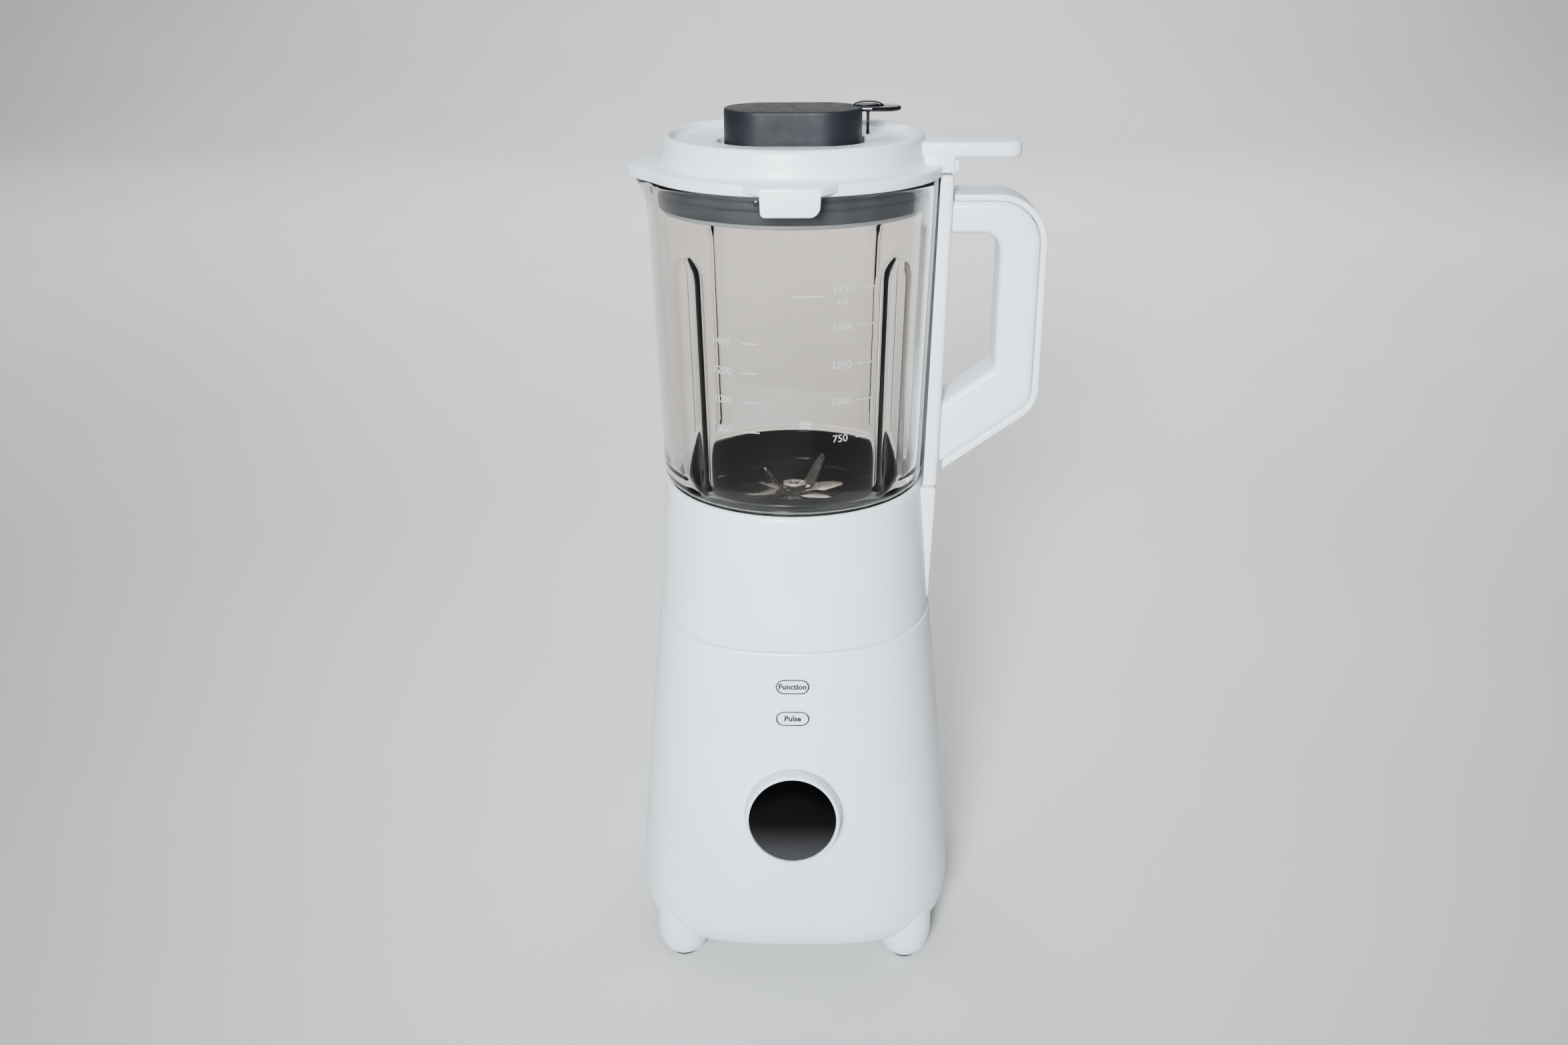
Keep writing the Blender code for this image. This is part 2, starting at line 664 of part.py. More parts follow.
def build_cap():
    cap = plate("lid_cap", obround(CAP), CAP_SEAT_Z + GAP, CAP_TOP_Z, SLATE)
    plug = plate("plug", obround(PLUG), PLUG_LOW_Z, CAP_SEAT_Z + 1)
    inside = plate("cap_inside", obround((PLUG[0] - 5, PLUG[1] - 5)), PLUG_LOW_Z - 5, CAP_TOP_Z - 3)
    seat_cut = box("tab_seat", (28.5, TAB_Y - 8.6, CAP_TOP_Z - 2.8), (40, TAB_Y + 8.6, 460))
    join(cap, plug)
    cut(cap, inside, seat_cut)
    low = CAP_TOP_Z - 2.5
    outline = rounded([(29, TAB_Y - 8, 3), (TAB_END_X, TAB_Y - 8, 7.9), (TAB_END_X, TAB_Y + 8, 7.9),
                       (29, TAB_Y + 8, 3)])
    tab = plate("cap_tab", outline, low, CAP_TOP_Z, BLACK)
    dome = turned("tab_dome", [
        (0, CAP_TOP_Z + 2.4), (3.4, CAP_TOP_Z + 2.1), (5.8, CAP_TOP_Z + 1), (6.6, CAP_TOP_Z - 1),
        (0, CAP_TOP_Z - 1)], at=(37, TAB_Y, 0), sides=20)
    stem = rod("tab_stem", 0.8, RECESS_Z + 1.0, low + 1, at=(36.4, TAB_Y, 0), sides=12)
    join(tab, dome, stem)


def build_interlock():
    turned("interlock_pin", [
        (0, COLUMN_TOP_Z + 0.5), (PIN_R, COLUMN_TOP_Z + 0.5), (PIN_R, 402), (0, 402)], SLATE,
        at=(PIN_X, PIN_Y, 0), sides=16)


clear_scene()
PARTS = new_collection("countertop_blender")
CUTTERS = new_collection("cutters")
ROOT = bpy.data.objects.new("drive_axis", None)
ROOT.location = Vector((AXIS_X, AXIS_Y, 0)) * MM
PARTS.objects.link(ROOT)

build_base_housing()
build_bottom_cover()
build_feet()
build_gland()
build_knob()
build_buttons()
build_motor()
build_couplings()
build_collar()
build_dish()
build_glass()
build_blades()
build_handle()
build_interlock()
build_lid()
build_lid_seal()
build_cap()
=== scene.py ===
import math

import bmesh
import bpy
from mathutils import Matrix, Vector


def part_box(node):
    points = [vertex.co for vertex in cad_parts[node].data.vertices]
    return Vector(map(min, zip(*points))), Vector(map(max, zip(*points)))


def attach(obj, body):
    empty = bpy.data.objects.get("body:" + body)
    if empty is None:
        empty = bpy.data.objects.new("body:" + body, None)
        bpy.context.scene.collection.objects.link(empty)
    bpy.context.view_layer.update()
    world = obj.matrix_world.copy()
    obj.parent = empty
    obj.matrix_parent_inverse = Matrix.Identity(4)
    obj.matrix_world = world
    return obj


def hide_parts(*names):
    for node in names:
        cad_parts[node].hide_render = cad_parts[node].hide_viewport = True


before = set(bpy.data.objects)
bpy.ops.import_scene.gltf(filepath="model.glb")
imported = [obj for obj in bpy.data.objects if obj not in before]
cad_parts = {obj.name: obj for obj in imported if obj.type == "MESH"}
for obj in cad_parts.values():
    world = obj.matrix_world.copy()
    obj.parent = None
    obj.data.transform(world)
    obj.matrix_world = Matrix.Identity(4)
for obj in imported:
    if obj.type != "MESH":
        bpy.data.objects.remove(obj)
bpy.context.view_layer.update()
mm = 0.001


def middleOf(node):
    low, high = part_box(node)
    return (low + high) / 2


driveAxis = middleOf("motor_rotor")
axisX, axisY = driveAxis.x / mm, driveAxis.y / mm
print("frame loaded, drive axis at", round(axisX, 2), round(axisY, 2))


# ---- materials

def hexColour(text):
    # sRGB hex to linear
    parts = [int(text[i:i + 2], 16) / 255 for i in (1, 3, 5)]
    return [c / 12.92 if c <= 0.04045 else ((c + 0.055) / 1.055) ** 2.4 for c in parts] + [1.0]


def addNode(tree, kind, settings=None, inputs=None):
    node = tree.nodes.new(kind)
    for key, value in (settings or {}).items():
        setattr(node, key, value)
    for key, value in (inputs or {}).items():
        if isinstance(value, bpy.types.NodeSocket):
            tree.links.new(value, node.inputs[key])
        else:
            node.inputs[key].default_value = value
    return node


def newMaterial(name, colour, roughness, metallic=0.0, ior=None, **extra):
    made = bpy.data.materials.new(name)
    made.use_nodes = True
    tree = made.node_tree
    shader = tree.nodes["Principled BSDF"]
    shader.inputs["Base Color"].default_value = hexColour(colour)
    shader.inputs["Roughness"].default_value = roughness
    shader.inputs["Metallic"].default_value = metallic
    if ior:
        shader.inputs["IOR"].default_value = ior
    for key, value in extra.items():
        shader.inputs[key].default_value = value
    return made, tree, shader


def objectPoint(tree, scale=(1, 1, 1)):
    place = addNode(tree, "ShaderNodeTexCoord")
    return addNode(tree, "ShaderNodeMapping", {}, {
        "Vector": place.outputs["Object"], "Scale": scale}).outputs["Vector"]


def perMm(size):
    # texture scale whose features are about this many millimetres
    return 1 / (size * mm)


def raiseBy(tree, shader, pattern, strength, height):
    # bump from a pattern's grey value, height in millimetres
    bump = addNode(tree, "ShaderNodeBump", {}, {
        "Height": pattern.outputs["Fac"], "Strength": strength, "Distance": height * mm})
    tree.links.new(bump.outputs["Normal"], shader.inputs["Normal"])


def grain(tree, shader, size, strength, height=0.02):
    # fine moulded texture, size in millimetres
    noise = addNode(tree, "ShaderNodeTexNoise", {}, {
        "Vector": objectPoint(tree), "Scale": perMm(size), "Detail": 3.0, "Roughness": 0.55})
    raiseBy(tree, shader, noise, strength, height)


def mottle(tree, shader, low, high, size, socket="Base Color"):
    # slow drift of colour or gloss between two values
    noise = addNode(tree, "ShaderNodeTexNoise", {}, {
        "Vector": objectPoint(tree), "Scale": perMm(size), "Detail": 2.0})
    if socket == "Base Color":
        ramp = addNode(tree, "ShaderNodeValToRGB", {}, {"Fac": noise.outputs["Fac"]})
        ramp.color_ramp.elements[0].position = 0.35
        ramp.color_ramp.elements[0].color = hexColour(low)
        ramp.color_ramp.elements[1].position = 0.65
        ramp.color_ramp.elements[1].color = hexColour(high)
        tree.links.new(ramp.outputs["Color"], shader.inputs[socket])
    else:
        spread = addNode(tree, "ShaderNodeMapRange", {}, {
            "Value": noise.outputs["Fac"], "From Min": 0.3, "From Max": 0.7,
            "To Min": low, "To Max": high})
        tree.links.new(spread.outputs["Result"], shader.inputs[socket])


def makeWhiteAbs():
    # ABS moulded in a finely eroded tool: satin, cool white, soft broad highlights
    made, tree, shader = newMaterial("mouldedWhiteAbs", "#D6DDE4", 0.36, ior=1.54)
    mottle(tree, shader, "#D4DCE3", "#D9E0E7", 35)
    mottle(tree, shader, 0.32, 0.42, 14, "Roughness")
    grain(tree, shader, 0.55, 0.22, 0.03)
    return made


def makeSlatePolypropylene():
    # polypropylene with a fine leather-like tool grain: dark blue grey, satin
    made, tree, shader = newMaterial(
        "grainedSlatePolypropylene", "#14171B", 0.5, ior=1.49, **{"Specular IOR Level": 0.22})
    mottle(tree, shader, "#121519", "#181B20", 20)
    mottle(tree, shader, 0.44, 0.58, 6, "Roughness")
    grain(tree, shader, 0.6, 0.35, 0.04)
    return made


def makePolishedBlack():
    # high-gloss black ABS and acrylic: near mirror, with faint handling haze
    made, tree, shader = newMaterial("polishedBlackAcrylic", "#08080A", 0.07, ior=1.49)
    mottle(tree, shader, "#070709", "#0D0D10", 25)
    mottle(tree, shader, 0.05, 0.12, 9, "Roughness")
    return made


def makeDisplayAcrylic():
    # smoked acrylic over an unlit display: black at the top, with a painted reflection that greys
    # the lower half
    made, tree, shader = newMaterial(
        "smokedDisplayAcrylic", "#050506", 0.10, ior=1.49, **{"Specular IOR Level": 0.12})
    point = objectPoint(tree)
    split = addNode(tree, "ShaderNodeSeparateXYZ", {}, {"Vector": point})
    low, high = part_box("display_window")
    # painted reflection: the base colour runs from grey at the lower edge to black at mid-height
    paintedReflection = addNode(tree, "ShaderNodeMapRange", {"interpolation_type": "SMOOTHSTEP"}, {
        "Value": split.outputs["Z"], "From Min": low.z, "From Max": (low.z + high.z) / 2,
        "To Min": 1.0, "To Max": 0.0})
    tint = addNode(tree, "ShaderNodeValToRGB", {}, {"Fac": paintedReflection.outputs["Result"]})
    tint.color_ramp.elements[0].color = hexColour("#030304")
    tint.color_ramp.elements[1].color = hexColour("#303031")
    tree.links.new(tint.outputs["Color"], shader.inputs["Base Color"])
    mottle(tree, shader, 0.08, 0.13, 7, "Roughness")
    return made


def makeSilicone(name, dark, light, roughness):
    # moulded silicone or soft rubber: matt, slightly mottled
    made, tree, shader = newMaterial(name, light, roughness, ior=1.41)
    mottle(tree, shader, dark, light, 12)
    grain(tree, shader, 0.7, 0.3, 0.04)
    return made


def makeGlass():
    # thick soda-lime glass, pressed: clear, with a warm grey cast that is painted shade for the
    # dim room seen through the jug, and slight pressing waves
    made, tree, shader = newMaterial(
        "pressedSodaLimeGlass", "#F3EFEB", 0.012, ior=1.5,
        **{"Transmission Weight": 1.0, "Specular IOR Level": 0.2})
    mottle(tree, shader, "#F1EDE9", "#F5F1ED", 40)
    waves = addNode(tree, "ShaderNodeTexNoise", {}, {
        "Vector": objectPoint(tree, (1, 1, 0.35)), "Scale": perMm(26), "Detail": 1.0})
    raiseBy(tree, shader, waves, 0.25, 0.5)
    return made


def makeMarkGlass():
    # raised volume marks, pressed with the glass and finely etched so that they read paler
    made, tree, shader = newMaterial(
        "etchedGlassMarks", "#E4E3E0", 0.38, ior=1.5,
        **{"Transmission Weight": 0.6, "Specular IOR Level": 0.4})
    grain(tree, shader, 0.4, 0.3, 0.02)
    mottle(tree, shader, 0.3, 0.45, 3, "Roughness")
    return made


def makePolishedSteel(name, roughness, streak, colour="#B9B3AA"):
    # stainless strip, ground then polished: warm grey metal with fine grinding lines
    made, tree, shader = newMaterial(name, colour, roughness, 1.0)
    lines = addNode(tree, "ShaderNodeTexNoise", {}, {
        "Vector": objectPoint(tree, (1, 0.06, 1)), "Scale": perMm(streak), "Detail": 4.0})
    gloss = addNode(tree, "ShaderNodeMapRange", {}, {
        "Value": lines.outputs["Fac"], "From Min": 0.3, "From Max": 0.7,
        "To Min": roughness * 0.7, "To Max": roughness * 1.5})
    tree.links.new(gloss.outputs["Result"], shader.inputs["Roughness"])
    raiseBy(tree, shader, lines, 0.15, 0.02)
    mottle(tree, shader, colour, "#C9C4BC", 9)
    return made


def makeHeaterCoat():
    # black non-stick coating baked on aluminium: glossy with a slight orange peel
    made, tree, shader = newMaterial(
        "bakedHeaterCoating", "#060708", 0.12, ior=1.38, **{"Specular IOR Level": 0.3})
    mottle(tree, shader, "#050607", "#0A0B0D", 14)
    grain(tree, shader, 2.2, 0.12, 0.04)
    return made


def makeBoard():
    # solder mask over copper tracks: green with paler lines 1.5 mm apart
    made, tree, shader = newMaterial("solderMaskedBoard", "#14502C", 0.35, ior=1.5)
    tracks = addNode(tree, "ShaderNodeTexWave", {}, {
        "Vector": objectPoint(tree), "Scale": perMm(9), "Distortion": 3.0})
    tint = addNode(tree, "ShaderNodeValToRGB", {}, {"Fac": tracks.outputs["Fac"]})
    tint.color_ramp.elements[0].color = hexColour("#0F3F22")
    tint.color_ramp.elements[1].color = hexColour("#2B7A47")
    tree.links.new(tint.outputs["Color"], shader.inputs["Base Color"])
    return made


def makeCopper():
    # enamelled winding wire: amber copper with 0.8 mm strands
    made, tree, shader = newMaterial("enamelledCopperWire", "#A8642F", 0.3, 1.0)
    strands = addNode(tree, "ShaderNodeTexWave", {"bands_direction": "Z"}, {
        "Vector": objectPoint(tree), "Scale": perMm(2.5), "Distortion": 0.6})
    raiseBy(tree, shader, strands, 0.8, 0.3)
    mottle(tree, shader, "#8E4F22", "#B87338", 6)
    return made


def makePrint():
    # pad-printed grey ink: flat, a little uneven
    made, tree, shader = newMaterial(
        "padPrintedInk", "#15171A", 0.7, **{"Specular IOR Level": 0.2})
    mottle(tree, shader, "#131518", "#191B1F", 2)
    return made


whiteAbs = makeWhiteAbs()
slatePlastic = makeSlatePolypropylene()
polishedBlack = makePolishedBlack()
displayAcrylic = makeDisplayAcrylic()
gasketSilicone = makeSilicone("greySiliconeGasket", "#565B62", "#626870", 0.5)
sealSilicone = makeSilicone("darkSiliconeSeal", "#4A504F", "#5A605E", 0.45)
footRubber = makeSilicone("darkFootRubber", "#26282B", "#33363A", 0.75)
jugGlass = makeGlass()
markGlass = makeMarkGlass()
bladeSteel = makePolishedSteel("groundStainlessBlade", 0.3, 1.5)
fittingSteel = makePolishedSteel("turnedStainlessFitting", 0.26, 2.5)
laminatedSteel = makePolishedSteel("laminatedCoreSteel", 0.45, 0.8, "#8E8D8A")
zincSteel = makePolishedSteel("zincPlatedSteel", 0.35, 3.0, "#A9ADB3")
heaterCoat = makeHeaterCoat()
boardMask = makeBoard()
windingCopper = makeCopper()
printInk = makePrint()
print("materials ready")


# ---- modelling helpers

def startPiece():
    if bpy.context.object and bpy.context.object.mode != "OBJECT":
        bpy.ops.object.mode_set(mode="OBJECT")
    bpy.ops.object.select_all(action="DESELECT")


def activate(piece):
    startPiece()
    piece.select_set(True)
    bpy.context.view_layer.objects.active = piece


def applyModifier(piece, kind, **settings):
    activate(piece)
    modifier = piece.modifiers.new(kind.title(), kind)
    for key, value in settings.items():
        setattr(modifier, key, value)
    bpy.ops.object.modifier_apply(modifier=modifier.name)


def smooth(piece, degrees):
    activate(piece)
    bpy.ops.object.shade_smooth_by_angle(angle=math.radians(degrees))


def bake(piece):
    activate(piece)
    bpy.ops.object.transform_apply(location=True, rotation=True, scale=True)


def finishPiece(piece, body, material, nodes=(), degrees=None):
    if degrees:
        smooth(piece, degrees)
    piece.data.materials.clear()
    piece.data.materials.append(material)
    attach(piece, body)
    if nodes:
        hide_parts(*nodes)


def leaveEdit():
    bpy.ops.mesh.select_all(action="SELECT")
    bpy.ops.mesh.normals_make_consistent(inside=False)
    bpy.ops.object.mode_set(mode="OBJECT")


def joinPieces(pieces, name):
    startPiece()
    for piece in pieces:
        piece.select_set(True)
    bpy.context.view_layer.objects.active = pieces[0]
    bpy.ops.object.join()
    joined = bpy.context.object
    joined.name = name
    return joined


def selectWhere(piece, test):
    mesh = bmesh.from_edit_mesh(piece.data)
    mesh.select_mode = {"VERT"}
    for vertex in mesh.verts:
        vertex.select = bool(test(vertex.co / mm))
    mesh.select_flush_mode()
    bmesh.update_edit_mesh(piece.data)


def ringStack(name, rings, sides, radiusAt=None, ends="open", centre=(0, 0, 0), turn=(0, 0, 0)):
    # a circle is extruded ring by ring, and rings are (radius, height);
    # the two ends are left open, filled, or joined to each other
    startPiece()
    bpy.ops.mesh.primitive_circle_add(
        vertices=sides, radius=max(1, rings[0][0]) * mm, location=(0, 0, rings[0][1] * mm))
    piece = bpy.context.object
    piece.name = name
    bpy.ops.object.transform_apply(location=True)
    bpy.ops.object.mode_set(mode="EDIT")
    bpy.ops.mesh.select_all(action="SELECT")
    for index, (radius, height) in enumerate(rings):
        if index:
            lift = (height - rings[index - 1][1]) * mm
            bpy.ops.mesh.extrude_region_move(TRANSFORM_OT_translate={"value": (0, 0, lift)})
        mesh = bmesh.from_edit_mesh(piece.data)
        for vertex in mesh.verts:
            if vertex.select:
                angle = math.atan2(vertex.co.y, vertex.co.x)
                reach = radiusAt(angle, radius, height, index) if radiusAt else radius
                vertex.co.x = reach * mm * math.cos(angle)
                vertex.co.y = reach * mm * math.sin(angle)
        bmesh.update_edit_mesh(piece.data)
    if ends == "filled":
        bpy.ops.mesh.edge_face_add()
    bpy.ops.mesh.select_all(action="DESELECT")
    if ends != "open":
        bpy.ops.mesh.select_mode(type="VERT")
        bpy.ops.mesh.select_non_manifold()
        if ends == "filled":
            bpy.ops.mesh.edge_face_add()
        else:
            bpy.ops.mesh.bridge_edge_loops()
    leaveEdit()
    piece.rotation_euler = turn
    piece.location = Vector((axisX + centre[0], axisY + centre[1], centre[2])) * mm
    bake(piece)
    return piece


def outlinePiece(name, corners, low, high, bevel, segments=3, flat=False):
    # one vertex is extruded round the outline, filled, corners bevelled, then given its depth
    startPiece()
    bpy.ops.mesh.primitive_plane_add(size=mm, location=(0, 0, 0))
    piece = bpy.context.object
    piece.name = name
    bpy.ops.object.mode_set(mode="EDIT")
    bpy.ops.mesh.select_all(action="SELECT")
    bpy.ops.mesh.merge(type="CENTER")
    first = Vector((corners[0][0], 0, corners[0][1])) * mm
    bpy.ops.transform.translate(value=first)
    last = first
    for x, z, _ in corners[1:]:
        here = Vector((x, 0, z)) * mm
        bpy.ops.mesh.extrude_vertices_move(TRANSFORM_OT_translate={"value": here - last})
        last = here
    bpy.ops.mesh.select_all(action="SELECT")
    bpy.ops.mesh.edge_face_add()
    for x, z, radius in corners:
        if radius:
            index = [(a, b) for a, b, _ in corners].index((x, z))
            here = Vector((x, z))
            before = (Vector(corners[index - 1][:2]) - here).normalized()
            after = (Vector(corners[(index + 1) % len(corners)][:2]) - here).normalized()
            half = math.acos(before.dot(after)) / 2
            selectWhere(piece, lambda p: (Vector((p.x, p.z)) - here).length < 0.02)
            bpy.ops.mesh.bevel(
                offset=radius / math.tan(half) * mm, segments=14, affect="VERTICES", profile=0.5)
    if flat:
        low, high = -high, -low
    bpy.ops.mesh.select_all(action="SELECT")
    bpy.ops.transform.translate(value=(0, low * mm, 0))
    bpy.ops.mesh.extrude_region_move(TRANSFORM_OT_translate={"value": (0, (high - low) * mm, 0)})
    leaveEdit()
    if bevel:
        applyModifier(piece, "BEVEL", width=bevel * mm, segments=segments,
                      limit_method="ANGLE", angle_limit=math.radians(50))
    if flat:
        piece.rotation_euler = (-math.pi / 2, 0, 0)
        bake(piece)
    piece.location = (axisX * mm, axisY * mm, 0)
    bake(piece)
    return piece


def roundedBox(name, low, high, bevel, segments=4):
    startPiece()
    size = Vector(high) - Vector(low)
    middle = (Vector(high) + Vector(low)) / 2 + Vector((axisX, axisY, 0))
    bpy.ops.mesh.primitive_cube_add(size=1, location=middle * mm)
    piece = bpy.context.object
    piece.name = name
    piece.scale = size * mm
    bake(piece)
    applyModifier(piece, "BEVEL", width=bevel * mm, segments=segments, limit_method="NONE")
    return piece


def cutWith(piece, cutter):
    applyModifier(piece, "BOOLEAN", object=cutter, operation="DIFFERENCE", solver="EXACT")
    bpy.data.objects.remove(cutter, do_unlink=True)


def superellipse(half, squareness, angle):
    c = abs(math.cos(angle)) ** squareness
    s = abs(math.sin(angle)) ** squareness
    return half / (c + s) ** (1 / squareness)


def between(table, height):
    # smooth curve through a table of (height, value ...) rows
    rows = [table[0], *table, table[-1]]
    for index in range(1, len(rows) - 2):
        if height <= rows[index + 1][0] or index == len(rows) - 3:
            break
    a, b, c, d = rows[index - 1:index + 3]
    t = min(1.0, max(0.0, (height - b[0]) / (c[0] - b[0])))
    values = []
    for column in range(1, len(b)):
        rise = (c[column] - a[column]) / max(c[0] - a[0], 1e-6) * (c[0] - b[0])
        fall = (d[column] - b[column]) / max(d[0] - b[0], 1e-6) * (c[0] - b[0])
        values.append(
            (2 * t ** 3 - 3 * t ** 2 + 1) * b[column] + (t ** 3 - 2 * t ** 2 + t) * rise
            + (3 * t ** 2 - 2 * t ** 3) * c[column] + (t ** 3 - t ** 2) * fall)
    return values


def bumpAt(angle, centre, half):
    away = abs((angle - centre + math.pi) % (2 * math.pi) - math.pi)
    return 0.5 + 0.5 * math.cos(math.pi * away / half) if away < half else 0.0


def obroundRadius(angle, width, length):
    # polar radius of a slot outline
    radius = width / 2
    straight = length / 2 - radius
    c, s = abs(math.cos(angle)), abs(math.sin(angle))
    if s > 1e-6 and radius * c / s <= straight:
        return radius / s
    return straight * c + math.sqrt(max(0.0, radius ** 2 - (straight * s) ** 2))


# ---- motor base

baseLook = {
    "sections": [  # height, half width, squareness
        (16, 79.0, 3.4), (19, 82.0, 3.4), (24, 84.6, 3.4), (30, 86.4, 3.4), (37, 87.0, 3.4),
        (60, 85.5, 3.2), (107, 81.6, 2.9), (150, 77.6, 2.6), (193, 73.0, 2.4)],
    "heights": [16, 17, 18.5, 20.5, 23, 26, 29.5, 33, 37, 42],
    "risers": (27, 5.45),    # how many more rings, and their pitch
    "shoulder": [(73.3, -1.9), (73.25, -1.0), (72.9, -0.35), (72.3, -0.05), (71.6, 0)],
    "wall": 2.5,
    "spigot": 62.0,
    "spigotRise": 10.0,
    "well": 24.0,
    "wellDepth": 7.0,
    "shaftHole": 8.0,
    "edge": 0.6,
    "sides": 192,
    "slotGap": 0.3,
}


def baseHalf(height):
    return between(baseLook["sections"], height)


def buildBase():
    look = baseLook
    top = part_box("base_housing")[1].z / mm
    seam = top - look["spigotRise"]
    count, pitch = look["risers"]
    last = look["heights"][-1]
    heights = look["heights"] + [last + step * pitch for step in range(1, count + 1)]
    rings = [(baseHalf(h)[0], h) for h in heights]
    rings += [(radius, seam + rise) for radius, rise in look["shoulder"]]
    shaped = len(rings)
    spigot, well, edge = look["spigot"], look["well"], look["edge"]
    floor = seam - look["wellDepth"]
    rings += [(spigot, seam), (spigot, top - edge), (spigot - edge, top), (well + edge, top),
              (well, top - edge), (well, floor), (look["shaftHole"], floor)]

    def radiusAt(angle, radius, height, index):
        if index < shaped:
            return superellipse(radius, baseHalf(height)[1], angle)
        return radius

    shell = ringStack("baseShell", rings, look["sides"], radiusAt)
    applyModifier(shell, "SOLIDIFY", thickness=look["wall"] * mm, offset=-1, use_even_offset=True)
    for node in ("function_button", "pulse_button"):
        low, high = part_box(node)
        cutter = pill("slotCutter", low, high, look["slotGap"], 20)
        cutWith(shell, cutter)
    finishPiece(shell, "base", whiteAbs, ["base_housing"], 30)


def pill(name, low, high, grow, depth):
    # slot-shaped cutter, its face towards -Y
    middle = (low + high) / 2 / mm
    size = (high - low) / mm
    width, height = size.x + 2 * grow, size.z + 2 * grow
    return ringStack(
        name, [(1, -depth / 2), (1, depth / 2)], 64,
        lambda angle, *_: obroundRadius(angle, height, width), "filled",
        centre=(middle.x - axisX, middle.y - axisY, middle.z), turn=(math.pi / 2, 0, 0))


def buildVentRibs():
    # shallow ribs under the lower edge, between the feet
    look = {"count": 17, "pitch": 5.6, "half": 1.0, "low": 16.6, "high": 27.5, "steps": 5}
    steps = look["steps"]
    heights = [look["low"] + (look["high"] - look["low"]) * k / steps for k in range(steps + 1)]
    for side in range(4):
        made = []
        for index in range(look["count"]):
            along = (index - (look["count"] - 1) / 2) * look["pitch"]
            outs = []
            for height in heights:
                half, squareness = baseHalf(height)
                outs.append((half ** squareness - abs(along) ** squareness) ** (1 / squareness))
            startPiece()
            bpy.ops.mesh.primitive_circle_add(vertices=8, radius=look["half"] * mm)
            rib = bpy.context.object
            bpy.ops.object.mode_set(mode="EDIT")
            bpy.ops.mesh.select_all(action="SELECT")
            for k, height in enumerate(heights):
                if k:
                    bpy.ops.mesh.extrude_region_move()
                fat = look["half"] * 0.35
                mesh = bmesh.from_edit_mesh(rib.data)
                for vertex in mesh.verts:
                    if vertex.select:
                        vertex.co.z = height * mm
                        if k:
                            vertex.co.y += (outs[k - 1] - outs[k]) * mm
                        else:
                            angle = math.atan2(vertex.co.y, vertex.co.x)
                            vertex.co.x = (along + fat * math.cos(angle)) * mm
                            vertex.co.y = (-outs[0] + fat * 0.8 * math.sin(angle)) * mm
                bmesh.update_edit_mesh(rib.data)
            bpy.ops.mesh.edge_face_add()
            bpy.ops.mesh.select_all(action="DESELECT")
            bpy.ops.mesh.select_non_manifold()
            bpy.ops.mesh.edge_face_add()
            leaveEdit()
            made.append(rib)
        ribs = joinPieces(made, f"ventRibs{side + 1}")
        ribs.rotation_euler.z = side * math.pi / 2
        ribs.location = (axisX * mm, axisY * mm, 0)
        bake(ribs)
        finishPiece(ribs, "base", whiteAbs, degrees=60)


def buildFeet():
    look = {
        "foot": [(4, 37), (9, 36.4), (12.2, 34), (13.7, 30), (14.3, 25), (14.4, 19), (14.2, 15),
                 (13.6, 11), (12.6, 7.6), (11.2, 4.9), (9.8, 3.3), (8.8, 2.5), (8.2, 2.3),
                 (4, 2.3)],
        "pad": [(2, 2.1), (7.3, 2.1), (7.6, 1.7), (7.6, 0.7), (7.2, 0.15), (6.6, 0.0),
                (5.4, 0.0), (5.0, 0.35), (2, 0.35)],
    }
    for index in range(1, 5):
        middle = middleOf(f"foot_{index}") / mm
        centre = (middle.x - axisX, middle.y - axisY, 0)
        foot = ringStack(f"footShell{index}", look["foot"], 64, ends="filled", centre=centre)
        finishPiece(foot, "base", whiteAbs, [f"foot_{index}"], 60)
        pad = ringStack(f"footPad{index}", look["pad"], 48, ends="filled", centre=centre)
        finishPiece(pad, "base", footRubber, [f"foot_pad_{index}"], 40)


knobLook = {  # profiles are (radius, depth) along the knob's own axis
    "tilt": 10.0,
    "centre": (0, -93.0, 106.0),
    "boss": [(20, -8.9), (25.1, -8.9), (25.35, -9.2), (25.45, -12.4), (25.75, -14.1),
             (26.6, -15.6), (28.4, -16.7), (31.2, -17.3), (34, -17.5), (34, -19.5), (20, -19.5)],
    "ring": [(22.7, -0.2), (22.85, 0.0), (23.7, 0.0), (24.1, -0.2), (24.4, -0.8), (24.7, -4),
             (25.2, -8.2), (25.0, -8.55), (20.2, -8.55), (20.2, -4.2), (22.7, -4.2)],
    "window": [(1, -0.35), (12, -0.36), (21.2, -0.42), (22.1, -0.6), (22.4, -1.0), (22.4, -2.4),
               (1, -2.4)],
}


def buildKnob():
    look = knobLook
    where = {"centre": look["centre"], "turn": (math.radians(90 - look["tilt"]), 0, 0)}
    boss = ringStack("knobBoss", look["boss"], 128, ends="joined", **where)
    finishPiece(boss, "base", whiteAbs, degrees=50)
    ring = ringStack("knobRing", look["ring"], 128, ends="joined", **where)
    finishPiece(ring, "knob", whiteAbs, ["knob_ring"], 40)
    window = ringStack("displayWindow", look["window"], 96, ends="filled", **where)
    finishPiece(window, "base", displayAcrylic, ["display_window"], 30)


def textPiece(name, words, size, thickness, bold=0.0):
    startPiece()
    bpy.ops.object.text_add()
    piece = bpy.context.object
    piece.name = name
    piece.data.body = words
    piece.data.size = size * mm
    piece.data.extrude = thickness * mm
    piece.data.align_x = "CENTER"
    piece.data.align_y = "CENTER"
    piece.data.resolution_u = 4
    piece.data.offset = bold * size * mm
    bpy.ops.object.convert(target="MESH")
    bpy.ops.object.mode_set(mode="EDIT")
    bpy.ops.mesh.select_all(action="SELECT")
    bpy.ops.mesh.remove_doubles(threshold=0.01 * mm)
    leaveEdit()
    return piece


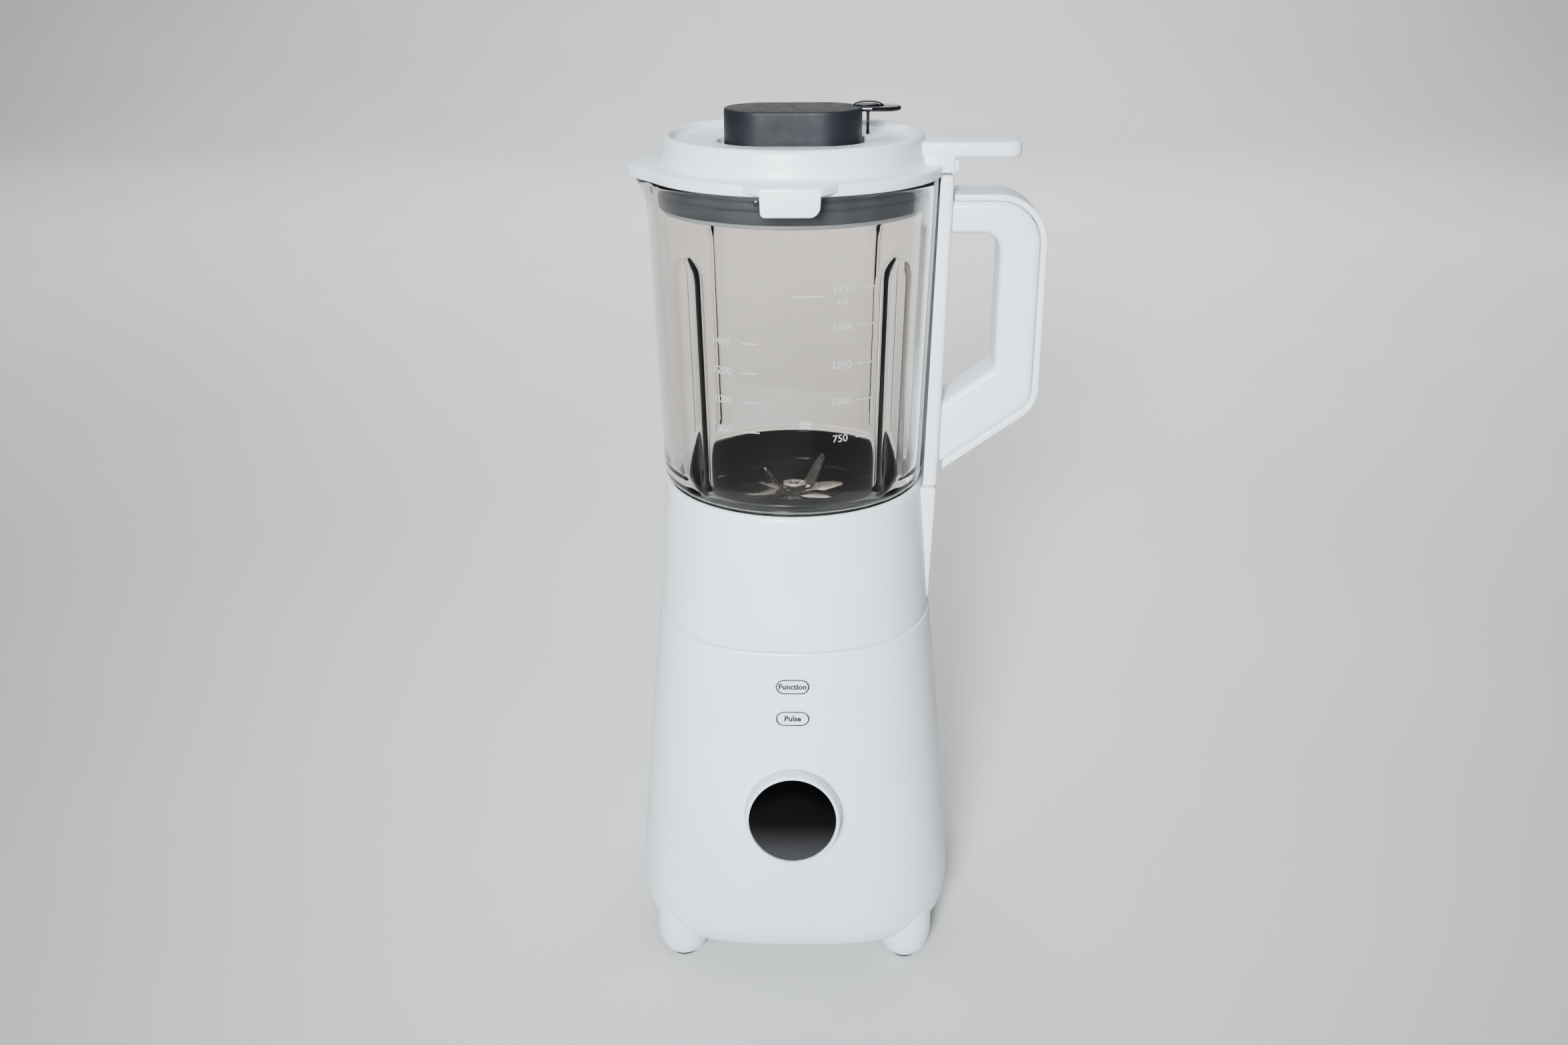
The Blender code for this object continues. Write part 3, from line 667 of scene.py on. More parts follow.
def buildButtons():
    look = {
        "textSize": 4.1, "bold": 0.04, "textDepth": 0.03, "textProud": 0.06,
        "line": 0.55, "lineEdge": 0.08, "lineDepth": 0.05, "proud": 0.1,
        "key": [(0, -3.4), (0, -0.25), (0.12, -0.08), (0.35, 0.0), (1.2, 0.03)],
    }
    inner, outer, depth = look["lineEdge"], look["lineEdge"] + look["line"], look["lineDepth"]
    for word in ("Function", "Pulse"):
        node, body = word.lower() + "_button", word.lower() + "_key"
        low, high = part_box(node)
        middle, size = (low + high) / 2 / mm, (high - low) / mm
        front = -baseHalf(middle.z)[0] - look["proud"]
        lean = math.atan2(baseHalf(middle.z - 5)[0] - baseHalf(middle.z + 5)[0], 10)
        where = {"centre": (0, front, middle.z), "turn": (math.pi / 2 - lean, 0, 0)}

        def keyRadius(angle, inset, *_):
            return obroundRadius(angle, size.z - 2 * inset, size.x - 2 * inset)

        key = ringStack(word.lower() + "Key", look["key"], 96, keyRadius, "filled", **where)
        finishPiece(key, body, whiteAbs, [node], 30)
        line = ringStack(
            word.lower() + "KeyLine", [(inner, 0), (inner, depth), (outer, depth), (outer, 0)],
            96, keyRadius, "joined", **where)
        finishPiece(line, body, printInk)
        label = textPiece(word.lower() + "Label", word, look["textSize"], look["textDepth"],
                          look["bold"])
        label.rotation_euler = where["turn"]
        label.location = Vector((axisX, axisY + front - look["textProud"], middle.z)) * mm
        bake(label)
        finishPiece(label, body, printInk)


buildBase()
buildVentRibs()
buildFeet()
buildKnob()
buildButtons()
print("motor base done")


# ---- jug

collarLook = {
    "sections": [(193.5, 72.3, 2.4), (215, 71.2, 2.25), (240, 69.7, 2.1), (265, 68.0, 2.0)],
    "wall": 2.4,
}


def buildCollar():
    look = collarLook
    low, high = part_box("jug_collar")
    bottom, top = low.z / mm, high.z / mm
    heights = [bottom + 0.9 + step * (top - bottom - 2.4) / 18 for step in range(19)]
    outer = [(between(look["sections"], h)[0], h) for h in heights]
    rings = [(71.0, bottom), (71.7, bottom + 0.1), (72.1, bottom + 0.4)] + outer
    rings += [(67.75, top - 0.8), (67.3, top - 0.2), (66.8, top), (66.0, top), (65.6, top - 0.4),
              (65.6, top - 3)]
    rings += [(between(look["sections"], h)[0] - look["wall"], h) for h in heights[-3::-3]]
    rings += [(70.4, bottom)]

    def radiusAt(angle, radius, height, index):
        squareness = between(look["sections"], height)[1]
        return superellipse(radius, squareness, angle)

    shell = ringStack("collarShell", rings, 192, radiusAt, "joined")
    finishPiece(shell, "jug", whiteAbs, ["jug_collar"], 35)
    wedge = outlinePiece(
        "columnFoot", [(62, 198, 0), (72.0, 198, 0), (74.3, top - 3.7, 0), (62, top - 3.7, 0)],
        -18, 18, 1.6, 4)
    space = ringStack("wedgeSpace", [(70, 190), (66.2, 290)], 96, ends="filled")
    cutWith(wedge, space)
    finishPiece(wedge, "jug", whiteAbs, degrees=40)


glassLook = {
    "wall": 4.6,
    "ribDepth": 2.8,
    "ribHalf": 7.5,          # degrees
    "ribFoot": 23.0,         # above the jug's lower edge
    "ribTop": 390.0,
    "ribArch": 14.0,
    "innerRib": (1.3, 1.15), # how much wider and deeper inside
    "spout": 7.0,
    "spoutDrop": 15.0,
    "spoutHalf": 23.0,
    "sides": 288,
}


glassLow, glassTop = (corner.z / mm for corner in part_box("glass_jug"))


def glassOuter(height):
    shoulder = glassLow + 21
    if height < shoulder - 1.5:
        return 64.9
    if height < shoulder + 2.5:
        t = (height - shoulder + 1.5) / 4
        return 64.9 + 3.4 * math.sin(t * math.pi / 2)
    return 68.3 + 4.3 * (height - shoulder - 2.5) / (glassTop - shoulder - 2.5)


def glassShape(angle, radius, height, inner):
    look = glassLook
    reach = radius
    above = height - glassLow - look["ribFoot"]
    arch = max(0.0, min(1.0, (look["ribTop"] - height) / look["ribArch"]))
    if above > 0 and arch > 0:
        wider, deeper = look["innerRib"] if inner else (1.0, 1.0)
        half = math.radians(look["ribHalf"]) * math.sqrt(1 - (1 - arch) ** 2) * wider
        depth = look["ribDepth"] * min(1.0, above / 8) * min(1.0, arch * 2.2) * deeper
        for k in range(4):
            reach -= depth * bumpAt(angle, math.radians(45 + 90 * k), max(half, 0.01))
    pour = max(0.0, min(1.0, (height - glassTop + look["spoutDrop"] + 0.5) / look["spoutDrop"]))
    return reach + look["spout"] * pour ** 1.6 * bumpAt(
        angle, math.pi, math.radians(look["spoutHalf"]))


def buildGlass():
    bottom, top = glassLow, glassTop - 0.4
    heights = [bottom + 1, bottom + 10, bottom + 19, bottom + 20, bottom + 21, bottom + 22,
               bottom + 23.4, bottom + 25, bottom + 28, bottom + 31]
    heights += [285, 300, 318, 336, 354, 368]
    heights += [375 + step * 1.25 for step in range(13)]
    heights += [392, 396, 402, 405, 408, 411, 413.5, 416, 418]
    outer = [(glassOuter(h), h) for h in heights]
    rim = [(glassOuter(top) - 0.1, top - 1.2), (glassOuter(top) - 0.6, top - 0.3),
           (glassOuter(top) - 1.5, top), (glassOuter(top) - 3.1, top),
           (glassOuter(top) - 4.0, top - 0.3), (glassOuter(top) - 4.5, top - 1.2)]
    inner = []
    for h in reversed(heights):
        wall = glassLook["wall"]
        inside = glassOuter(h) - wall
        if bottom + 15 < h < bottom + 31:
            inside = 60.4 + (glassOuter(bottom + 31) - wall - 60.4) * (
                0.5 - 0.5 * math.cos(math.pi * (h - bottom - 15) / 16))
        elif h <= bottom + 15:
            inside = 60.3
        inner.append((inside, h))
    rings = outer + rim + inner
    turnOver = len(outer) + 3

    def radiusAt(angle, radius, height, index):
        return glassShape(angle, radius, height, index >= turnOver)

    jug = ringStack("pressedGlassJug", rings, glassLook["sides"], radiusAt, "joined")
    finishPiece(jug, "jug", jugGlass, ["glass_jug"], 60)


def buildLug():
    # small glass shoulder beside the lid's hook
    look = {"from": -16.4, "to": -6.0, "height": 3.1, "proud": 3.4, "root": 2.2, "bevel": 0.7}
    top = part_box("gasket_carrier")[1].z / mm - 1.7
    wall = glassOuter(top - 1.5)
    lug = roundedBox("hookLug", (look["from"], -wall - look["proud"], top - look["height"]),
                     (look["to"], -wall + look["root"], top), look["bevel"])
    finishPiece(lug, "jug", jugGlass, degrees=40)


def wrapOnGlass(piece, angle, height, radius):
    # lay a flat mark on the jug's wall
    for vertex in piece.data.vertices:
        x, y, z = vertex.co / mm
        around = angle + x / radius
        reach = radius + z
        vertex.co = Vector((axisX + reach * math.cos(around), axisY + reach * math.sin(around),
                            height + y)) * mm
    piece.data.update()


def buildMarks():
    look = {"digit": 5.2, "tick": 8.0, "line": 0.5, "raise": 0.12, "longTick": 15.5}
    right = [(750, 305.5), (1000, 324.2), (1250, 342.2), (1500, 361.0), (1750, 378.7)]
    left = [(800, 309.0), (1000, 324.0), (1200, 338.5), (1400, 353.0)]
    made = []

    def addTick(length, angle, height):
        startPiece()
        bpy.ops.mesh.primitive_grid_add(x_subdivisions=12, y_subdivisions=1, size=1)
        tick = bpy.context.object
        tick.scale = (length * mm, look["line"] * mm, 1)
        bake(tick)
        applyModifier(tick, "SOLIDIFY", thickness=2 * look["raise"] * mm, offset=0)
        wrapOnGlass(tick, math.radians(angle), height, glassOuter(height) + look["raise"])
        made.append(tick)

    def addWord(words, angle, height):
        word = textPiece("mark", words, look["digit"], look["raise"])
        wrapOnGlass(word, math.radians(angle), height, glassOuter(height) + look["raise"])
        made.append(word)

    for scale, numberAngle, tickAngle in ((right, -70.5, -60.5), (left, -118, -106)):
        for value, height in scale:
            addWord(str(value), numberAngle, height)
            addTick(look["tick"], tickAngle, height)
    addTick(look["longTick"], -83.4, 376.0)
    addWord("ml", -70.5, 373.0)
    marks = joinPieces(made, "volumeMarks")
    finishPiece(marks, "jug", markGlass)


dishLook = {
    "dish": [(7.5, 247.0), (13, 247.0), (13.4, 247.5), (15.4, 247.5), (15.8, 247.0), (30, 247.0),
             (30.4, 247.6), (32.4, 247.6), (32.8, 247.0), (50, 247.0), (53, 247.5),
             (55.6, 249.2), (56.6, 251.6), (57.0, 254.6), (57.2, 267.0), (57.5, 267.6),
             (58.3, 267.6), (58.6, 267.2), (58.6, 259.4), (59.8, 259.0), (59.8, 245.7),
             (63.7, 245.7), (64, 245.3), (64, 242.9), (63.6, 242.5), (7.5, 242.5)],
    "seal": [(58.8, 260.0), (58.75, 266.6), (59.0, 267.0), (59.7, 267.0), (60.0, 266.6),
             (60.0, 264.6), (59.6, 264.0), (59.6, 263.2), (60.0, 262.6), (60.0, 260.0),
             (59.7, 259.6), (59.0, 259.6)],
    "bearing": [(4.2, 250.2), (4.6, 250.5), (8.0, 250.5), (8.8, 250.2), (9.4, 249.6),
                (11.6, 248.9), (12.0, 248.4), (12.0, 247.3), (7.1, 247.3), (7.1, 236),
                (4.2, 236)],
}


def buildDish():
    look = dishLook
    dish = ringStack("heaterDish", look["dish"], 144, ends="joined")
    finishPiece(dish, "jug", heaterCoat, ["heater_dish"], 40)
    seal = ringStack("jugSeal", look["seal"], 144, ends="joined")
    finishPiece(seal, "jug", sealSilicone, ["jug_seal"], 50)
    bearing = ringStack("bladeBearing", look["bearing"], 64, ends="joined")
    finishPiece(bearing, "jug", fittingSteel, ["blade_bearing"], 40)


def bladePiece(name, folds):
    # a blank is outlined, its edges are ground, then it is folded up beside the hub
    outline = folds["arm"] + [(-x, -y, r) for x, y, r in folds["arm"]]
    blade = outlinePiece(name, outline, 0, bladeLook["thickness"], bladeLook["edge"], 2, flat=True)
    blade.data.transform(blade.matrix_world)
    for vertex in blade.data.vertices:
        vertex.co -= Vector((axisX, axisY, 0)) * mm
    bpy.context.view_layer.update()
    activate(blade)
    bpy.ops.object.mode_set(mode="EDIT")
    for side in (-1, 1):
        for step in range(folds["steps"]):
            at = side * (folds["x"] + step * folds["pitch"])
            bpy.ops.mesh.select_all(action="SELECT")
            bpy.ops.mesh.bisect(plane_co=(at * mm, 0, 0), plane_no=(1, 0, 0))
    bpy.ops.object.mode_set(mode="OBJECT")
    share = math.radians(folds["rise"]) / folds["steps"]
    for side in (-1, 1):
        for step in reversed(range(folds["steps"])):
            at = folds["x"] + step * folds["pitch"]
            for vertex in blade.data.vertices:
                along = vertex.co.x * side / mm - at
                if along > 0.001:
                    up = vertex.co.z / mm
                    vertex.co.x = side * (at + along * math.cos(share) - up * math.sin(share)) * mm
                    vertex.co.z = (up * math.cos(share) + along * math.sin(share)) * mm
            for vertex in blade.data.vertices:
                along = vertex.co.x * side / mm - at
                if folds["twist"] and along > folds["pitch"]:
                    lift = math.radians(folds["twist"]) * side / folds["steps"]
                    y, z = vertex.co.y, vertex.co.z
                    vertex.co.y = y * math.cos(lift) - z * math.sin(lift)
                    vertex.co.z = y * math.sin(lift) + z * math.cos(lift)
    blade.rotation_euler.z = math.radians(folds["turn"])
    blade.location = Vector((axisX, axisY, folds["height"])) * mm
    bake(blade)
    smooth(blade, 30)
    return blade


bladeLook = {
    "thickness": 1.2,
    "edge": 0.25,
    "lower": {  # arm is one half of the blank as x, y and corner radius
        "arm": [(7, -5.5, 0), (15, -6.2, 3), (27.5, -1.8, 1.0), (30, 1.6, 1.2), (24, 4.4, 3),
                (7, 5.5, 0)],
        "height": 252.5, "turn": 24, "x": 10, "pitch": 1.2, "steps": 3, "rise": -4, "twist": 9},
    "cross": {
        "arm": [(7, -5.2, 0), (14, -5.6, 3), (24, -1.6, 1.0), (26, 1.6, 1.2), (21, 4.0, 3),
                (7, 5.2, 0)],
        "height": 251.0, "turn": -42, "x": 10, "pitch": 1.2, "steps": 3, "rise": -3, "twist": 9},
    "upper": {
        "arm": [(6, -4.6, 0), (14, -4.6, 3), (26, -1.2, 1.5), (28.5, 1.8, 1.5), (22, 3.6, 3),
                (6, 4.6, 0)],
        "height": 254.0, "turn": 31, "x": 7.4, "pitch": 0.5, "steps": 4, "rise": 56, "twist": 0},
    "nut": [(3.9, 255.3), (6.8, 255.3), (7.2, 255.6), (7.2, 257.2), (6.8, 257.8), (5.4, 258.2),
            (4.0, 258.2), (3.9, 257.9)],
    "shaft": [(0.6, 259.4), (1.9, 259.3), (2.5, 258.8), (2.7, 258.3), (3.4, 258.3),
              (3.6, 258.0), (3.6, 200.7), (0.6, 200.7)],
}


def buildBlades():
    look = bladeLook
    for place in ("lower", "cross", "upper"):
        blade = bladePiece(place + "Blade", look[place])
        finishPiece(blade, "blades", bladeSteel, [place + "_blade"])
    nut = ringStack("bladeNut", look["nut"], 6, ends="joined")
    applyModifier(nut, "BEVEL", width=look["edge"] * mm, segments=3, limit_method="ANGLE",
                  angle_limit=math.radians(35))
    finishPiece(nut, "blades", fittingSteel, ["blade_nut"], 30)
    shaft = ringStack("bladeShaft", look["shaft"], 48, ends="filled")
    finishPiece(shaft, "blades", fittingSteel, ["blade_shaft"], 40)


handleLook = {
    "columnHalf": 18,
    "columnBevel": 2.4,
    "gripHalf": 13.9,
    "gripBevel": 3.2,
    "coverHalf": 14,
    "coverBevel": 0.9,
    "strip": 3.5,            # thickness of the cover strip
    "gap": 0.25,
    "insideCorners": [(74, 272.6, 0), (74, 305, 0), (101.5, 325, 4), (101.5, 393, 9),
                      (74, 393, 0)],
    "slot": ((77.0, -11.5, 0.4), (77.75, -9.3, 5.6)),
}


def buildHandle():
    look = handleLook
    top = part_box("handle_body")[1].z / mm
    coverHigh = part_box("handle_cover")[1] / mm
    right, gripTop = coverHigh.x - axisX, coverHigh.z
    column = outlinePiece(
        "handleColumn", [(60, 261.9, 0), (74.4, 261.9, 0), (77.6, top, 0), (60, top, 0)],
        -look["columnHalf"], look["columnHalf"], look["columnBevel"], 5)
    space = ringStack("glassSpace", [(glassOuter(255) + 4.3, 250), (73.3, top + 3)], 144,
                      ends="filled")
    cutWith(column, space)
    finishPiece(column, "jug", whiteAbs, ["handle_body"], 40)
    inside, under, gap = right - look["strip"], gripTop - look["strip"], look["gap"]
    bars = outlinePiece(
        "handleGrip",
        [(74, under, 0), (inside, under, 21.5), (inside, 306.3, 13)] + look["insideCorners"],
        -look["gripHalf"], look["gripHalf"], look["gripBevel"], 5)
    finishPiece(bars, "jug", whiteAbs, degrees=40)
    cover = outlinePiece(
        "handleCover",
        [(78.2, gripTop, 0), (right, gripTop, 25), (right, 304.5, 16.5), (77, 270.3, 0),
         (77, 274.8, 0), (inside + gap, 306.5, 13), (inside + gap, under + gap, 21.5),
         (78.2, under + gap, 0)],
        -look["coverHalf"], look["coverHalf"], look["coverBevel"], 4)
    finishPiece(cover, "jug", whiteAbs, ["handle_cover"], 40)
    # a dark slate box on the column face is painted shade for a small slot
    low, high = (Vector(corner) + Vector((0, 0, gripTop)) for corner in look["slot"])
    slot = roundedBox("columnSlotShade", low, high, 0.3)
    finishPiece(slot, "jug", slatePlastic, degrees=40)


buildCollar()
buildGlass()
buildLug()
buildMarks()
buildDish()
buildBlades()
buildHandle()
print("jug done")


# ---- lid

lidLook = {  # every height is a rise above the lid's seat on its gasket
    "flange": [  # radius, rise, share of the lobe over the spout
        (64.4, 0, 0), (66.4, 0, 0), (67.2, -1.5, 0), (72.8, -1.5, 1), (73.4, -1.2, 1),
        (73.6, -0.5, 1), (73.6, 2.7, 1), (73.3, 3.4, 1), (72.5, 3.8, 1), (67.5, 3.85, 0.35),
        (65.9, 4.2, 0), (65.0, 5.1, 0), (64.6, 6.8, 0)],
    "drum": [(64.1, 11.4), (63.75, 15.2), (63.5, 16.2), (62.9, 16.95), (62.0, 17.35),
             (60.9, 17.4), (60.1, 17.15), (59.6, 16.5), (59.3, 15.2), (58.8, 14.3),
             (57.8, 13.85), (56.5, 13.8), (47, 13.8)],
    "opening": [  # length, width, rise
        (75.6, 48.6, 13.8), (74.8, 47.8, 13.68), (74.2, 47.2, 13.3), (74, 47, 12.6),
        (74, 47, 5.8), (61, 34, 5.8), (61, 34, 0.4), (80, 53, 0.4), (80, 53, 10.8)],
    "inside": [(61.2, 10.8), (61.2, 0)],
    "lobe": 8.4,
    "lobeHalf": 30,          # degrees
    "armHalf": 18,
    "armRise": (7.1, 14.6),
    "uprights": [  # name, corners, depth, bevel, segments
        ("armBlock", [(62.8, 0.1, 0), (77.6, 0.1, 0), (77.6, 9, 0), (62.8, 9, 0)],
         (-17.8, 17.8), 0.9, 4),
        ("interlockTongue", [(77.0, 0.6, 0), (78.6, 0.6, 0), (79.6, 1.8, 0), (79.6, 5.2, 0),
                             (78.4, 6.4, 0), (77.0, 6.4, 0)], (-16.5, -12.5), 0.25, 2),
        ("lidHook", [(-13.2, -9.2, 2.2), (13.2, -9.2, 5.0), (13.8, 3.4, 0), (-13.8, 3.4, 0)],
         (-80, -73.9), 0.9, 4)],
    "brow": [(-13.8, -79.9, 2.5), (13.8, -79.9, 2.5), (22, -69.5, 0), (-22, -69.5, 0)],
    "browRise": (0, 3.7),
}


def buildLid():
    look = lidLook
    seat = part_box("gasket_carrier")[1].z / mm + 0.3
    flange, opening = look["flange"], look["opening"]
    first = len(flange) + len(look["drum"])
    rings = [(radius, rise) for radius, rise, _ in flange] + look["drum"]
    rings += [(length / 2, rise) for length, _, rise in opening] + look["inside"]

    def radiusAt(angle, radius, height, index):
        if index < len(flange):
            bump = bumpAt(angle, math.pi, math.radians(look["lobeHalf"]))
            return radius + look["lobe"] * flange[index][2] * bump
        if first <= index < first + len(opening):
            length, width, _ = opening[index - first]
            return obroundRadius(angle, width, length)
        return radius

    drum = ringStack("lidShell", [(radius, seat + rise) for radius, rise in rings], 240, radiusAt,
                     "joined")
    finishPiece(drum, "lid", whiteAbs, ["lid_body"], 40)
    half, end = look["armHalf"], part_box("lid_body")[1].x / mm - axisX
    low, high = (seat + rise for rise in look["armRise"])
    arm = outlinePiece(
        "lidArm", [(60.5, -half, 0), (end, -half, 6), (end, half, 6), (60.5, half, 0)],
        low, high, 1.9, 5, flat=True)
    cutter = ringStack("armSpace", [(60.6, seat), (60.6, seat + 20)], 96, ends="filled")
    cutWith(arm, cutter)
    finishPiece(arm, "lid", whiteAbs, degrees=40)
    for name, corners, (front, back), bevel, segments in look["uprights"]:
        corners = [(x, seat + rise, radius) for x, rise, radius in corners]
        piece = outlinePiece(name, corners, front, back, bevel, segments)
        finishPiece(piece, "lid", whiteAbs, degrees=40)
    low, high = (seat + rise for rise in look["browRise"])
    brow = outlinePiece("hookBrow", look["brow"], low, high, 0.8, 4, flat=True)
    finishPiece(brow, "lid", whiteAbs, degrees=40)


sealLook = {
    "carrier": [(44.0, 422.2), (60.4, 422.2), (61.6, 420.9), (63.6, 420.6), (63.8, 420.2),
                (64.9, 407.2), (64.9, 405.9), (64.4, 405.4), (62.0, 405.4), (61.6, 405.8),
                (61.6, 419.2), (44, 419.6)],
    "gasket": [(64.1, 420.7), (65.9, 420.7), (66.6, 420.3), (66.8, 419.6), (66.6, 418.9),
               (65.7, 418.4), (65.6, 417.6), (66.5, 417.1), (66.7, 416.2), (66.6, 415.0),
               (65.6, 414.6), (65.6, 414.0), (66.4, 413.6), (66.6, 412.8), (66.4, 408.2),
               (65.9, 407.6), (65.1, 407.4), (64.3, 407.6)],
}


def buildLidSeal():
    carrier = ringStack("gasketCarrier", sealLook["carrier"], 180, ends="joined")
    finishPiece(carrier, "lid_seal", whiteAbs, ["gasket_carrier"], 40)
    gasket = ringStack("lidGasket", sealLook["gasket"], 180, ends="joined")
    finishPiece(gasket, "lid_seal", gasketSilicone, ["lid_gasket"], 50)


capLook = {
    "shoulder": 14.7,        # height of the part that sits in the lid
    "tab": [(27.6, -6.6, 3), (38, -7.6, 6), (38, 7.6, 6), (27.6, 6.6, 3)],
    "tabEnd": (8, 7.6),
    "knobX": 36.4,
    "dome": [(0.4, 2.3), (2.2, 2.2), (3.9, 1.8), (5.3, 1.1), (6.2, 0.3), (6.6, -0.5),
             (6.6, -1.2), (0.4, -1.2)],
    "stem": [(0.2, -2), (1.2, -2), (1.1, -2.8), (0.8, -3.6), (0.72, -8), (0.72, -11.6),
             (0.95, -12.6), (0.9, -13.4), (0.5, -13.8), (0.2, -13.9)],
    "gateMark": [(0.1, 0.12), (0.5, 0.16), (0.8, 0.3), (1.05, 0.34), (1.25, 0.26), (1.4, 0.05),
                 (1.4, -0.4), (0.1, -0.4)],
}


def buildCap():
    look = capLook
    low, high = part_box("lid_cap")
    length, width = (high.x - low.x) / mm, (high.y - low.y) / mm
    top, bottom = high.z / mm, low.z / mm
    seat = bottom + look["shoulder"]
    rings = [  # how much wider than the cap, height; from the inside out
        (-10, top - 3), (-8, top - 4), (-11.6, seat + 2), (-12, bottom + 0.4), (-11.4, bottom),
        (-7.4, bottom), (-7, bottom + 0.4), (-7, seat), (-0.8, seat), (-0.2, seat + 0.3),
        (0, seat + 0.9), (0, seat + 8), (0, seat + 15), (0, top - 1.5), (-0.12, top - 0.9),
        (-0.5, top - 0.4), (-1.1, top - 0.12), (-1.9, top), (-6, top + 0.06), (-16, top + 0.1),
        (-28, top + 0.12)]

    def radiusAt(angle, wider, *_):
        return obroundRadius(angle, width + wider, length + wider)

    cap = ringStack("measuringCap", rings, 192, radiusAt, "filled")
    finishPiece(cap, "cap", slatePlastic, ["lid_cap"], 35)
    tabLow, tabHigh = (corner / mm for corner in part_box("cap_tab"))
    right, midY = tabHigh.x - axisX, (tabLow.y + tabHigh.y) / 2 - axisY
    half, radius = look["tabEnd"]
    corners = look["tab"][:2] + [(right, -half, radius), (right, half, radius)] + look["tab"][2:]
    tab = outlinePiece("capTab", [(x, midY + y, r) for x, y, r in corners], top - 2.3,
                       top - 0.05, 0.9, 5, flat=True)
    finishPiece(tab, "cap", polishedBlack, ["cap_tab"], 50)
    where = (look["knobX"], midY, top)
    dome = ringStack("tabDome", look["dome"], 64, ends="filled", centre=where)
    for vertex in dome.data.vertices:
        vertex.co.x += (vertex.co.x - (axisX + look["knobX"]) * mm) * 0.25  # a little oval
    finishPiece(dome, "cap", polishedBlack, degrees=50)
    stem = ringStack("tabStem", look["stem"], 24, ends="filled", centre=where)
    finishPiece(stem, "cap", polishedBlack, degrees=50)
    mark = ringStack("capGateMark", look["gateMark"], 24, ends="filled", centre=(0, 0, top))
    finishPiece(mark, "cap", slatePlastic, degrees=60)


buildLid()
buildLidSeal()
buildCap()
print("lid and cap done")


# ---- carried-over inner parts

innerFinish = {
    "bottom_cover": whiteAbs, "collar_base": whiteAbs, "cord_gland": footRubber,
    "display_core": slatePlastic, "control_board": boardMask, "motor_stator": laminatedSteel,
    "motor_rotor": windingCopper, "lower_bearing": zincSteel, "upper_bearing": zincSteel,
    "lower_bearing_cup": zincSteel, "upper_bearing_cup": zincSteel, "lower_bracket": zincSteel,
    "upper_bracket": zincSteel, "motor_post_left": zincSteel, "motor_post_right": zincSteel,
    "cooling_fan": slatePlastic, "drive_coupling": slatePlastic, "driven_coupling": slatePlastic,
    "base_connector": slatePlastic, "jug_connector": slatePlastic, "bearing_nut": fittingSteel,
    "interlock_pin": slatePlastic,
}
for name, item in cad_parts.items():
    if name.startswith(("cover_screw", "collar_screw")):
        innerFinish[name] = zincSteel
for name, finish in innerFinish.items():
    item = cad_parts[name]
    for spot in item.material_slots:
        spot.material = finish
print("inner parts finished")


# ---- stage, light and camera

cameraLook = {
    "lens": 32.9,            # on a 36 mm wide sensor
    "aside": 13.07,          # right of the drive axis
    "before": 713.5,         # in front of it
    "height": 535.7,
    "pitch": 22.9,
    "yaw": -1.51,
    "roll": -0.41,
}


def buildStage():
    startPiece()
    bpy.ops.mesh.primitive_plane_add(size=1, location=(0, 0, 0))
    floor = bpy.context.object
    floor.name = "paleFloor"
    floor.scale = (6, 6, 1)
    bpy.ops.object.transform_apply(scale=True)
    bpy.ops.object.mode_set(mode="EDIT")
    bpy.ops.mesh.select_all(action="DESELECT")
    bpy.ops.mesh.select_mode(type="EDGE")
    mesh = bmesh.from_edit_mesh(floor.data)
    for edge in mesh.edges:
        edge.select = all(v.co.y > 2.9 for v in edge.verts)
    bmesh.update_edit_mesh(floor.data)
    for step in range(12):
        angle = math.radians(7.5 * (step + 0.5))
        bpy.ops.mesh.extrude_region_move(TRANSFORM_OT_translate={
            "value": (0, 0.16 * math.cos(angle), 0.16 * math.sin(angle))})
    bpy.ops.mesh.extrude_region_move(TRANSFORM_OT_translate={"value": (0, 0, 3)})
    bpy.ops.object.mode_set(mode="OBJECT")
    made, tree, shader = newMaterial("paleBackdropPaint", "#CFCFCF", 0.8)
    mottle(tree, shader, "#CDCDCD", "#D1D1D1", 400)
    floor.data.materials.append(made)
    smooth(floor, 60)


